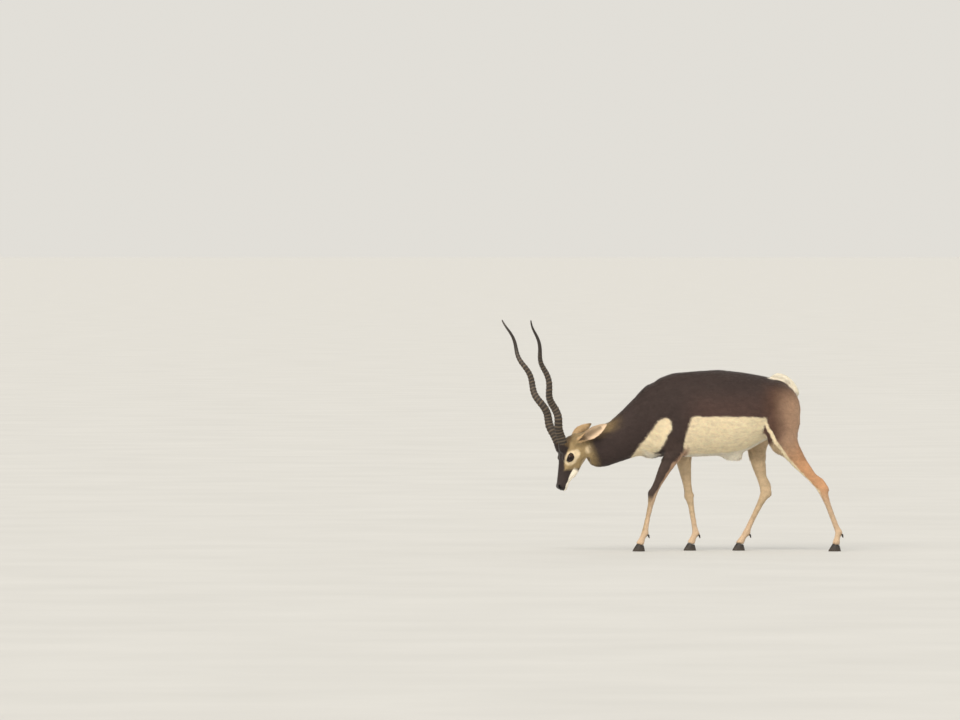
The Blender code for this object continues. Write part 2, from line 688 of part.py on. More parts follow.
def parting_plates():
    bm = bmesh.new()
    for (kind, side), height in LEG_CUTS.items():
        joints = dict_of_joints(kind, side)
        upper, lower = ("elbow", "knee") if kind == "fore" else ("stifle", "hock")
        top, bottom = joints[upper], joints[lower]
        share = (top.z - height) / (top.z - bottom.z)
        place = top.lerp(bottom, share)
        add_slab(bm, place + Vector((0.006, 0.0, 0.0)), bottom - top, 0.062, 0.060)
    add_slab(bm, NECK_CUT, (0.88, 0.0, 0.47), 0.155, 0.15)
    add_slab(bm, HEAD_CUT, HEAD_CUT_NORMAL, 0.128, 0.090)
    return object_of("parting_plates", bm)


def add_block(bm, matrix, centre, half_sizes):
    made = bmesh.ops.create_cube(bm, size=2.0)
    size = Matrix.Diagonal((*half_sizes, 1.0))
    bmesh.ops.transform(bm, matrix=matrix @ Matrix.Translation(Vector(centre)) @ size, verts=made["verts"])


def ground_blocks():
    """Blocks that end each leg on its tilted coronet plane, and each horn and ear root flat."""
    bm = bmesh.new()
    for kind, side in LEG_JOINTS:
        add_block(bm, hoof_matrix(kind, side), (0.0, 0.0, -0.05), (0.045, 0.035, 0.05))
    for side in (LEFT, RIGHT):
        for place, direction, width, reach in root_planes(side):
            turn = direction.to_track_quat("Z", "Y").to_matrix().to_4x4()
            matrix = head_matrix() @ Matrix.Translation(place) @ turn
            add_block(bm, matrix, (0.0, 0.0, reach + 0.03), (width, width, 0.03))
    return object_of("ground_blocks", bm)


def root_planes(side):
    """Where a horn and an ear leave the head: place, direction, half width of the cut, and reach."""
    return (
        (mirrored(HORN_PLACE, side), horn_direction(side), 0.026, HORN_ROOT_REACH),
        (mirrored(EAR_PLACE, side), mirrored(EAR_DIRECTION, side).normalized(), 0.020, EAR_ROOT_REACH),
    )


def hoof_matrix(kind, side):
    """The frame of a foot: its origin under the coronet on the plane where flesh ends, toe towards -X."""
    coronet = dict_of_joints(kind, side)["coronet"]
    tilt = Matrix.Rotation(math.radians(CORONET_TILT), 4, "Y")
    toe_out = Matrix.Rotation(math.radians(TOE_OUT) * side, 4, "Z")
    return Matrix.Translation((coronet.x, coronet.y, HOOF_HEIGHT)) @ toe_out @ tilt


def eye_cutters():
    bm = bmesh.new()
    for side in (LEFT, RIGHT):
        place = head_matrix() @ mirrored(EYE_PLACE, side)
        made = bmesh.ops.create_icosphere(bm, subdivisions=3, radius=EYE_RADIUS + GAP)
        bmesh.ops.translate(bm, vec=place, verts=made["verts"])
    return object_of("eye_cutters", bm)


def mouth_cutter():
    """A thin wedge that runs from one corner of the mouth round the lips to the other."""
    bm = bmesh.new()
    rings = []
    steps = 19
    front_share = 0.45
    for k in range(steps):
        reach = 2.0 * k / (steps - 1) - 1.0
        straight = max(0.0, abs(reach) - front_share) / (1.0 - front_share)
        turn = max(-1.0, min(1.0, reach / front_share)) * math.pi / 2
        along = MOUTH_FRONT + MOUTH_ROUND * (1.0 - math.cos(turn)) + MOUTH_LENGTH * straight
        across = MOUTH_HALF_WIDTH * math.sin(turn) + math.copysign(0.0060 * straight, turn)
        height = MOUTH_HEIGHT - 0.0085 * straight**1.6
        outward = Vector((-math.cos(turn), math.sin(turn), 0.0))
        centre = Vector((along, across, height))
        wide = MOUTH_GAPE * (1.0 - 0.5 * straight)
        rings.append(
            [
                centre - outward * MOUTH_DEPTH,
                centre + outward * 0.012 + Vector((0.0, 0.0, wide)),
                centre + outward * 0.012 - Vector((0.0, 0.0, wide)),
            ]
        )
    loft(bm, rings)
    bmesh.ops.transform(bm, matrix=head_matrix(), verts=bm.verts)
    bmesh.ops.recalc_face_normals(bm, faces=bm.faces)
    return object_of("mouth_cutter", bm)


def nostril_cutters():
    """A slit for each nostril, that curls up and back at its outer end."""
    bm = bmesh.new()
    for side in (LEFT, RIGHT):
        rings = []
        for k in range(7):
            share = k / 6
            curl = math.radians(-40 + 150 * share)
            bend = Vector((0.0062 * (1 - math.cos(curl)), 0.0022 * share, 0.0062 * math.sin(curl)))
            centre = NOSTRIL_PLACE + bend
            girth = 0.0026 * math.sin(math.pi * (0.18 + 0.72 * share)) + 0.0005
            outward = Vector((-0.62, 0.78, 0.10)).normalized()
            run = Vector((math.sin(curl), 0.30, math.cos(curl))).normalized()
            wide = outward.cross(run).normalized()
            rings.append(
                [
                    mirrored(centre - outward * 0.006, side),
                    mirrored(centre + outward * 0.012 + wide * girth * 1.6, side),
                    mirrored(centre + outward * 0.012 - wide * girth * 1.6, side),
                ]
            )
        loft(bm, rings)
    bmesh.ops.transform(bm, matrix=head_matrix(), verts=bm.verts)
    bmesh.ops.recalc_face_normals(bm, faces=bm.faces)
    return object_of("nostril_cutters", bm)


def split_flesh(flesh, finish):
    """Names each separate piece of the parted flesh after the region that its middle lies nearest to."""
    anchors = {
        "head": head_matrix() @ Vector((-0.09, 0.0, -0.01)),
        "neck": Vector((-0.26, -0.01, 0.50)),
        "torso": Vector((0.23, 0.0, 0.60)),
    }
    for kind, side in LEG_JOINTS:
        joints = dict_of_joints(kind, side)
        middle = (joints["knee"] if kind == "fore" else joints["hock"]).copy()
        anchors[f"{kind}leg_{SIDE_NAMES[side]}"] = middle
    bm = bmesh.new()
    bm.from_mesh(flesh.data)
    bmesh.ops.triangulate(bm, faces=bm.faces)
    bmesh.ops.remove_doubles(bm, verts=bm.verts, dist=0.000002)
    chosen = {}
    for island in islands_of(bm):
        verts = {vert for face in island for vert in face.verts}
        low = Vector([min(vert.co[axis] for vert in verts) for axis in range(3)])
        high = Vector([max(vert.co[axis] for vert in verts) for axis in range(3)])
        if (high - low).length < 0.03:
            continue
        name = min(anchors, key=lambda key: (anchors[key] - (low + high) / 2).length)
        if name not in chosen or len(island) > len(chosen[name]):
            chosen[name] = island
    # Two faces on the same three corners are a fin without thickness, and both are left out
    doubled = collections.Counter(frozenset(face.verts) for face in bm.faces)
    for name, island in chosen.items():
        node = bmesh.new()
        made = {vert: node.verts.new(vert.co) for vert in {vert for face in island for vert in face.verts}}
        for face in island:
            if doubled[frozenset(face.verts)] == 1:
                node.faces.new([made[vert] for vert in face.verts])
        bmesh.ops.recalc_face_normals(node, faces=node.faces)
        round_off(object_of(name, node, finish[name]))
    bm.free()
    bpy.data.objects.remove(flesh)


def islands_of(bm):
    left = set(bm.faces)
    islands = []
    while left:
        start = left.pop()
        island, front = [start], [start]
        while front:
            face = front.pop()
            for edge in face.edges:
                for other in edge.link_faces:
                    if other in left:
                        left.remove(other)
                        island.append(other)
                        front.append(other)
        islands.append(island)
    return islands


def round_off(obj):
    """Shades the object smooth, with sharp edges where its faces meet steeply."""
    mesh = obj.data
    mesh.shade_smooth()
    mesh.set_sharp_from_angle(angle=math.radians(38))


def halves_of(side):
    """The two digits of a foot, as signs of Y, with their names."""
    return ((side, "outer"), (-side, "inner"))


def add_claws(kind, side, finish):
    """The two claws of a foot, each a pointed half with a flat sole."""
    matrix = hoof_matrix(kind, side)
    for half, name in halves_of(side):
        rings = []
        for share, length, width, shift, lift in CLAW_RINGS:
            ring = []
            for k in range(CLAW_SIDES):
                turn = math.tau * k / CLAW_SIDES
                fore_aft = math.cos(turn)
                pointed = 1.0 - 0.55 * max(0.0, -fore_aft) ** 2.2
                along = shift + length * fore_aft * (1.0 if fore_aft > 0 else 1.12)
                across = math.sin(turn) * width * pointed
                across *= 0.55 if across < 0 else 1.25
                lateral = (across + width * 0.55 + CLAW_CLEFT / 2) * half
                top = matrix @ Vector((along, lateral, -GAP))
                base = matrix @ Vector((along, lateral, 0.0))
                ring.append(Vector((base.x, base.y, top.z * share + lift)))
            rings.append(ring)
        bm = bmesh.new()
        loft(bm, rings)
        bmesh.ops.triangulate(bm, faces=[face for face in bm.faces if len(face.verts) > 4])
        bmesh.ops.recalc_face_normals(bm, faces=bm.faces)
        round_off(object_of(f"claw_{kind}_{SIDE_NAMES[side]}_{name}", bm, finish))


def dewclaw_rings(kind, side, half, girths, slimness):
    """Rings down one dewclaw: girths pairs shares of its length with half widths."""
    fetlock = dict_of_joints(kind, side)["fetlock"]
    start = fetlock + Vector((DEWCLAW_AFT, DEWCLAW_SPREAD * half, -0.008))
    rings = []
    for share, girth in girths:
        middle = start + Vector((0.0040, 0.0012 * half, -DEWCLAW_LENGTH)) * share
        rings.append(
            [
                middle + Vector((girth * slimness * math.cos(turn), girth * math.sin(turn), 0.0))
                for turn in (math.tau * k / 10 for k in range(10))
            ]
        )
    return rings


def add_dewclaws(kind, side, finish):
    for half, name in halves_of(side):
        bm = bmesh.new()
        loft(bm, dewclaw_rings(kind, side, half, DEWCLAW_GIRTHS, 0.8))
        bmesh.ops.recalc_face_normals(bm, faces=bm.faces)
        round_off(object_of(f"dewclaw_{kind}_{SIDE_NAMES[side]}_{name}", bm, finish))


def dewclaw_cutters():
    """Sockets in the flesh, a gap wider than the dewclaws that sit in them."""
    bm = bmesh.new()
    for kind, side in LEG_JOINTS:
        for half, _ in halves_of(side):
            loft(bm, dewclaw_rings(kind, side, half, DEWCLAW_SOCKET_GIRTHS, 0.84))
    bmesh.ops.recalc_face_normals(bm, faces=bm.faces)
    return object_of("dewclaw_cutters", bm)


def add_eye(side, finish):
    bm = bmesh.new()
    bmesh.ops.create_icosphere(bm, subdivisions=3, radius=EYE_RADIUS)
    bmesh.ops.translate(bm, vec=head_matrix() @ mirrored(EYE_PLACE, side), verts=bm.verts)
    round_off(object_of(f"eye_{SIDE_NAMES[side]}", bm, finish))


def horn_point(side, reach):
    """The middle of the horn in the head's frame, a share of the way up its axis."""
    axis = horn_direction(side)
    outward = (Vector((0.0, side, 0.0)) - axis * (axis.y * side)).normalized()
    forward = axis.cross(outward) * -side
    turn = math.tau * HORN_TURNS * reach + math.radians(HORN_START)
    coil = HORN_COIL_RADIUS * ramp(np.array(reach), 0.0, 0.22) * (1.0 - 0.35 * reach)
    root = mirrored(HORN_PLACE, side) + axis * (HORN_ROOT_REACH + GAP)
    swing = outward * math.cos(turn) + forward * math.sin(turn)
    return root + axis * (HORN_HEIGHT * reach) + swing * float(coil)


def add_horn(side, finish):
    """A corkscrew horn with raised rings, flat where it leaves the head and pointed at its tip."""
    matrix = head_matrix()
    stations = [(0.0, 1.0)]
    ringed = 1.0 - HORN_SMOOTH_TIP
    for k in range(HORN_RING_COUNT):
        step = ringed / HORN_RING_COUNT
        fade = 1.0 - ramp(np.array(k / HORN_RING_COUNT), 0.72, 1.0)
        stations.append((step * (k + 0.50), 1.0 + float(fade)))
        stations.append((step * (k + 1.00), 1.0))
    for k in range(1, 9):
        stations.append((ringed + HORN_SMOOTH_TIP * k / 8, 1.0))
    axis = horn_direction(side)
    rings = []
    for reach, ridge in stations:
        girth = HORN_TIP_RADIUS + (HORN_BASE_RADIUS - HORN_TIP_RADIUS) * (1.0 - reach) ** 0.72
        girth += HORN_RING_HEIGHT * (ridge - 1.0) * min(1.0, girth / 0.012)
        centre = horn_point(side, reach)
        if reach == 0.0:
            direction = axis
        else:
            ahead = horn_point(side, min(reach + 0.004, 1.0))
            direction = (ahead - horn_point(side, reach - 0.004)).normalized()
            direction = (axis * (1.0 - min(1.0, reach * 14)) + direction * min(1.0, reach * 14)).normalized()
        across = Vector((0.0, 1.0, 0.0))
        across = (across - direction * across.dot(direction)).normalized()
        up = direction.cross(across)
        rings.append(
            [
                matrix @ (centre + across * girth * math.cos(turn) + up * girth * 1.06 * math.sin(turn))
                for turn in (math.tau * n / HORN_SIDES for n in range(HORN_SIDES))
            ]
        )
    bm = bmesh.new()
    loft(bm, rings)
    bmesh.ops.recalc_face_normals(bm, faces=bm.faces)
    round_off(object_of(f"horn_{SIDE_NAMES[side]}", bm, finish))


def add_ear(side, finish):
    """A leaf-shaped cup: nearly closed at its root, open in the middle, and pointed at its tip."""
    direction = mirrored(EAR_DIRECTION, side).normalized()
    opening = mirrored(EAR_OPENING, side)
    opening = (opening - direction * opening.dot(direction)).normalized()
    across = direction.cross(opening).normalized()
    root = mirrored(EAR_PLACE, side) + direction * (EAR_ROOT_REACH + GAP)
    rings = []
    for share, width, wrap in EAR_RINGS:
        spread = math.radians(wrap)
        radius = width / math.sin(min(spread, math.pi / 2))
        middle = root + direction * (EAR_LENGTH * share) + opening * (radius - 0.0146 - 0.016 * share**2)
        floor = radius * 0.86 * (1.0 - float(ramp(np.array(share), 0.02, EAR_FLOOR)))
        wall = max(EAR_WALL * (1.6 - share * 0.9), floor)
        angles = [spread * (2 * n / (EAR_SIDES - 1) - 1) for n in range(EAR_SIDES)]
        outer = [middle - opening * radius * math.cos(a) + across * radius * math.sin(a) for a in angles]
        hollow = radius - wall
        inner = [
            middle - opening * hollow * math.cos(a) + across * hollow * math.sin(a)
            for a in reversed(angles)
        ]
        rings.append([head_matrix() @ point for point in outer + inner])
    bm = bmesh.new()
    loft(bm, rings)
    bmesh.ops.recalc_face_normals(bm, faces=bm.faces)
    round_off(object_of(f"ear_{SIDE_NAMES[side]}", bm, finish))


def centre_over_origin():
    """Moves every mesh so that the middle of the animal's box lies over the origin."""
    nodes = [obj for obj in bpy.data.objects if obj.type == "MESH"]
    everything = np.concatenate([positions(obj.data) for obj in nodes])
    low, high = everything.min(axis=0), everything.max(axis=0)
    middle = (low + high) / 2
    for obj in nodes:
        obj.data.transform(Matrix.Translation((-middle[0], -middle[1], -low[2])))


def main():
    clear_scene()
    coats = {
        "head": material("coat_head", (0.09, 0.06, 0.045), 0.9),
        "neck": material("coat_neck", (0.06, 0.045, 0.04), 0.9),
        "torso": material("coat_torso", (0.05, 0.038, 0.034), 0.9),
        "tail": material("coat_tail", (0.65, 0.60, 0.52), 0.9),
    }
    for kind in ("fore", "hind"):
        for side in (LEFT, RIGHT):
            name = f"{kind}leg_{SIDE_NAMES[side]}"
            coats[name] = material(f"coat_{name}", (0.50, 0.36, 0.25), 0.9)
    flesh = build_flesh()
    remesh = flesh.modifiers.new("Remesh", "REMESH")
    remesh.mode = "VOXEL"
    remesh.voxel_size = VOXEL
    bake_modifiers(flesh)
    soften_trunk(flesh)
    refine_head(flesh)
    shape_lids(flesh)
    decimate_flesh(flesh)
    boolean(flesh, "DIFFERENCE", tail_solid("tail_bed", GAP))
    boolean(flesh, "DIFFERENCE", ground_blocks())
    boolean(flesh, "DIFFERENCE", eye_cutters())
    boolean(flesh, "DIFFERENCE", mouth_cutter())
    boolean(flesh, "DIFFERENCE", nostril_cutters())
    boolean(flesh, "DIFFERENCE", dewclaw_cutters())
    boolean(flesh, "DIFFERENCE", parting_plates())
    split_flesh(flesh, coats)
    round_off(tail_solid("tail", 0.0, coats["tail"]))
    for kind, side in LEG_JOINTS:
        add_claws(kind, side, material(f"hoof_{kind}_{SIDE_NAMES[side]}", (0.02, 0.018, 0.015), 0.55))
        add_dewclaws(kind, side, material(f"dewclaw_{kind}_{SIDE_NAMES[side]}", (0.02, 0.018, 0.015), 0.6))
    for side in (LEFT, RIGHT):
        add_eye(side, material(f"eye_{SIDE_NAMES[side]}", (0.01, 0.006, 0.004), 0.1))
        add_horn(side, material(f"horn_{SIDE_NAMES[side]}", (0.07, 0.05, 0.03), 0.6))
        add_ear(side, material(f"ear_{SIDE_NAMES[side]}", (0.55, 0.42, 0.30), 0.9))
    centre_over_origin()


if __name__ == "__main__":
    main()
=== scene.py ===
"""Looks of a life-size blackbuck: one furred skin over its flesh, with separate eyes, horns and hooves."""

import json
import logging
import math
from dataclasses import dataclass, field
from enum import Enum

import bmesh
import bpy
import numpy as np
from mathutils import Matrix, Vector

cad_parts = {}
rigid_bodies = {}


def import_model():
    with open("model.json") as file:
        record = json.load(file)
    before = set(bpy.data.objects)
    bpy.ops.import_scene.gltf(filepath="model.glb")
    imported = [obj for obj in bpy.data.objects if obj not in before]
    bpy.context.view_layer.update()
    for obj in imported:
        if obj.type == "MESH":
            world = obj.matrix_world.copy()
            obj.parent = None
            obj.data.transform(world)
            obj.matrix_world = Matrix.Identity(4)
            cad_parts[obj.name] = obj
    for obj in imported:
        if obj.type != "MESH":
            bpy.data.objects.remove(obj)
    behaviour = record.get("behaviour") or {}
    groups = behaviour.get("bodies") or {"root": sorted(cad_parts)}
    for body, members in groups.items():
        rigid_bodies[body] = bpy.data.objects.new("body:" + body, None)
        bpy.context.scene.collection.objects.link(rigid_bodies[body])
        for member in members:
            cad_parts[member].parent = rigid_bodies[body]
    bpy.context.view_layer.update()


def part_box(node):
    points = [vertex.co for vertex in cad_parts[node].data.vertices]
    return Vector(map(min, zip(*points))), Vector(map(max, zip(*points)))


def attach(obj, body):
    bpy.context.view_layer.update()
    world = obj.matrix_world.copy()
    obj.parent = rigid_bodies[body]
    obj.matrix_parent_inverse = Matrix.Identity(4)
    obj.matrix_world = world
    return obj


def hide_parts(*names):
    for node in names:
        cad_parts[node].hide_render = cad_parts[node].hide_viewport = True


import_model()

LOG = logging.getLogger("blackbuck")
ROOT = "root"
FLESH = ("head", "neck", "torso", "tail", "foreleg_left", "foreleg_right", "hindleg_left", "hindleg_right")


class Side(Enum):
    """The two sides of the animal, as signs of Y."""

    LEFT = -1
    RIGHT = 1

    def of(self, point: Vector) -> Vector:
        """Moves a point stated for the right side to this side."""
        return Vector((point[0], point[1] * self.value, point[2]))

    @property
    def word(self) -> str:
        """The side's name as the nodes carry it."""
        return self.name.lower()


SIDES = (Side.LEFT, Side.RIGHT)


def linear(code: str) -> tuple[float, float, float]:
    """Turns an sRGB hex colour to linear light.

    Args:
        code: Six hex digits after a hash sign.

    Returns:
        Red, green and blue from 0 to 1.
    """
    parts = [int(code[k : k + 2], 16) / 255 for k in (1, 3, 5)]
    return tuple(c / 12.92 if c <= 0.04045 else ((c + 0.055) / 1.055) ** 2.4 for c in parts)


def ramp(values: np.ndarray, start: float, end: float) -> np.ndarray:
    """Eases from 0 at start to 1 at end, and also runs backwards.

    Args:
        values: Any array of numbers.
        start: Where the rise begins.
        end: Where it is complete.

    Returns:
        An array of shares from 0 to 1.
    """
    share = np.clip((np.asarray(values, float) - start) / (end - start), 0.0, 1.0)
    return share * share * (3.0 - 2.0 * share)


def ripple(points: np.ndarray, size: float, seed: float = 0.0) -> np.ndarray:
    """Gives smooth blotches without any table: a few crossed waves of one rough size.

    Args:
        points: Places, one to a row.
        size: Rough width of a blotch in metres.
        seed: Moves the pattern along.

    Returns:
        Values of about -1 to 1.
    """
    total = np.zeros(len(points))
    for k in range(5):
        turn = 1.7 * k + seed
        way = np.array([math.cos(turn), math.sin(1.3 * turn + 0.4), math.cos(2.1 * turn + 1.0)])
        total += np.sin(points @ way * (2.0 + 0.55 * k) / size + 2.3 * k + seed)
    return total / 3.2


HEAD_ORIGIN = (-0.412, -0.032, 0.490)
HEAD_TURN = math.radians(20.0)
HEAD_PITCH = math.radians(-63.0)


def head_matrix() -> Matrix:
    """The head's frame: nose towards -X, crown towards +Z, hinged where the neck begins."""
    turn = Matrix.Rotation(HEAD_TURN, 4, "Z")
    return Matrix.Translation(HEAD_ORIGIN) @ turn @ Matrix.Rotation(HEAD_PITCH, 4, "Y")


# Places in the head's frame, stated for the right side
EYE_PLACE = Vector((-0.0930, 0.0370, 0.0120))
HORN_PLACE = Vector((-0.0600, 0.0240, 0.0560))
EAR_PLACE = Vector((-0.0130, 0.0400, 0.0120))
NOSTRIL_PLACE = Vector((-0.2260, 0.0130, -0.0150))
HORN_RISE = math.radians(47.35)
HORN_SPLAY = math.radians(14.8)
EYE_RADIUS = 0.0185
EYE_SLANT = math.radians(12.0)
ALMOND_POWER = 1.75


def settled_shift() -> Vector:
    """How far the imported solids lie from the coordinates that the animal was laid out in.

    Returns:
        The move, found from where the left eye now is.
    """
    low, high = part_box("eye_left")
    return (Vector(low) + Vector(high)) / 2 - head_matrix() @ Side.LEFT.of(EYE_PLACE)


SHIFT = settled_shift()
HEAD = Matrix.Translation(SHIFT) @ head_matrix()
HEAD_BACK = np.array(HEAD.inverted())
# A place on the plane where the head ends, and the way the neck leaves it
HEAD_END = np.array((-0.382, -0.028, 0.468))
HEAD_END_WAY = np.array(Vector((0.90, 0.20, 0.38)).normalized())


def in_head_frame(points: np.ndarray) -> np.ndarray:
    """Turns places in the scene to places in the head's frame."""
    return points @ HEAD_BACK[:3, :3].T + HEAD_BACK[:3, 3]


def laid_out(points: np.ndarray) -> np.ndarray:
    """Turns places in the scene to the layout's coordinates."""
    return points - np.array(SHIFT)


def past_head(p: np.ndarray) -> np.ndarray:
    """How far places in the layout's coordinates lie behind the plane where the head ends."""
    return (p - HEAD_END) @ HEAD_END_WAY


def from_eyes(h: np.ndarray) -> np.ndarray:
    """How far places in the head's frame lie from the middle of the nearer eye."""
    return np.minimum(*(np.linalg.norm(h - np.array(side.of(EYE_PLACE)), axis=1) for side in SIDES))


def from_eye_slit(h: np.ndarray, side: Side, half: tuple[float, float]) -> tuple[np.ndarray, ...]:
    """Measures places against the almond of an eye.

    Args:
        h: Places in the head's frame.
        side: Which eye.
        half: Half the almond's length and height.

    Returns:
        Offsets from the eye's middle, heights above its slit, and shares of the almond's reach.
    """
    offset = h - np.array(side.of(EYE_PLACE))
    along = offset[:, 0] * math.cos(EYE_SLANT) + offset[:, 2] * math.sin(EYE_SLANT)
    above = offset[:, 2] * math.cos(EYE_SLANT) - offset[:, 0] * math.sin(EYE_SLANT)
    power = ALMOND_POWER
    reach = (np.abs(along / half[0]) ** power + np.abs(above / half[1]) ** power) ** (1 / power)
    return offset, above, reach


# The middle of each leg in the side view, from its root to its coronet: place along X, height
LEG_LINES = {
    ("fore", Side.LEFT): ((-0.020, 0.545), (0.012, 0.450), (-0.086, 0.250), (-0.120, 0.082), (-0.139, 0.034)),
    ("fore", Side.RIGHT): ((0.000, 0.545), (0.046, 0.450), (0.078, 0.240), (0.106, 0.078), (0.088, 0.034)),
    ("hind", Side.LEFT): ((0.470, 0.640), (0.478, 0.478), (0.661, 0.268), (0.732, 0.084), (0.722, 0.034)),
    ("hind", Side.RIGHT): ((0.455, 0.640), (0.352, 0.490), (0.412, 0.252), (0.330, 0.080), (0.303, 0.034)),
}
TAIL_PATH = np.array(
    (
        (0.510, 0.0, 0.652),
        (0.537, 0.0, 0.664),
        (0.550, 0.0, 0.691),
        (0.539, 0.0, 0.722),
        (0.518, 0.0, 0.747),
        (0.493, 0.0, 0.763),
        (0.466, 0.0, 0.770),
        (0.441, 0.0, 0.765),
    )
)


def behind_leg(kind: str, p: np.ndarray) -> np.ndarray:
    """How far each place lies behind the middle line of the leg on its own side.

    Args:
        kind: Fore or hind.
        p: Places in the layout's coordinates.

    Returns:
        Distances along X, negative in front.
    """
    found = []
    for side in SIDES:
        line = np.array(LEG_LINES[kind, side])[::-1]
        found.append(p[:, 0] - np.interp(p[:, 2], line[:, 1], line[:, 0]))
    return np.where(p[:, 1] < 0, found[0], found[1])


def near_tail(p: np.ndarray) -> tuple[np.ndarray, np.ndarray]:
    """Finds the nearest place of the tail's middle line.

    Args:
        p: Places in the layout's coordinates.

    Returns:
        Distances to the line, counted as far beyond the tip's end, and the share of the way along it.
    """
    steps = np.linspace(0.0, len(TAIL_PATH) - 1.0, 43)
    line = np.stack([np.interp(steps, np.arange(len(TAIL_PATH)), TAIL_PATH[:, k]) for k in range(3)], axis=1)
    apart = np.linalg.norm(p[:, None, :] * (1.0, 0.75, 1.0) - line[None], axis=2)
    last = TAIL_PATH[-1] - TAIL_PATH[-2]
    beyond = (p - TAIL_PATH[-1]) @ last / np.linalg.norm(last) > 0.0095
    return np.where(beyond, 1.0, apart.min(axis=1)), apart.argmin(axis=1) / (len(steps) - 1)


def patch(p: np.ndarray, corners: tuple, soft: float = 0.008, rounding: float = 0.008) -> np.ndarray:
    """How far each place lies inside a convex patch of the side view.

    Args:
        p: Places in the layout's coordinates.
        corners: The patch's corners as X and Z, with its inside to the left of each edge.
        soft: How wide its border blends.
        rounding: How round its corners are.

    Returns:
        Shares from 0 outside to 1 inside.
    """
    total = np.zeros(len(p))
    for (x0, z0), (x1, z1) in zip(corners, (*corners[1:], corners[0])):
        run = math.hypot(x1 - x0, z1 - z0)
        inward = ((x1 - x0) * (p[:, 2] - z0) - (z1 - z0) * (p[:, 0] - x0)) / run
        total += np.exp(np.clip(-inward / rounding, -40.0, 40.0))
    depth = -np.log(total) * rounding
    return ramp(depth + 0.35 * rounding, -soft / 2, soft / 2)


def near_nostril(h: np.ndarray, side: Side) -> tuple[np.ndarray, np.ndarray]:
    """Finds how far places lie from the curled slit of a nostril, seen along the way it opens.

    Args:
        h: Places in the head's frame.
        side: Which nostril.

    Returns:
        The distances, and the way the nostril opens.
    """
    share = np.linspace(0.0, 1.0, 9)
    curl = np.radians(-40 + 150 * share)
    path = np.stack([0.0062 * (1 - np.cos(curl)), 0.0022 * share, 0.0062 * np.sin(curl)], axis=1)
    path += np.array(NOSTRIL_PLACE)
    path[:, 1] *= side.value
    outward = np.array((-0.62, 0.78 * side.value, 0.10))
    outward /= np.linalg.norm(outward)
    apart = h[:, None, :] - path[None]
    apart -= (apart @ outward)[:, :, None] * outward
    nearest = np.linalg.norm(apart, axis=2).min(axis=1)
    far = np.linalg.norm(h - path[4], axis=1) > 0.020
    return np.where(far, 1.0, nearest), outward


@dataclass(frozen=True)
class Palette:
    """Coat colours of the male, as sRGB."""

    saddle: str = "#443734"
    flank: str = "#5c4640"
    haunch: str = "#62473a"
    rear: str = "#bd9b80"
    gaskin: str = "#d0a078"
    shank: str = "#cdb396"
    cream: str = "#ffedcc"
    white: str = "#fbf2e0"
    # The legs' inner sides are white: this tan is that white darkened as painted shade between the legs
    inner: str = "#cfb897"
    stripe: str = "#493b36"
    mask: str = "#332927"
    ring: str = "#f0dcb8"
    cheek: str = "#a38d66"
    crown: str = "#6c573a"
    nape: str = "#9f875d"
    ear_back: str = "#bb9d74"
    ear_cup: str = "#e6ceb2"
    lip: str = "#1f1817"
    # Nostril insides: the dark skin there, painted darker still as painted shade of the opening
    hollow: str = "#0c0807"


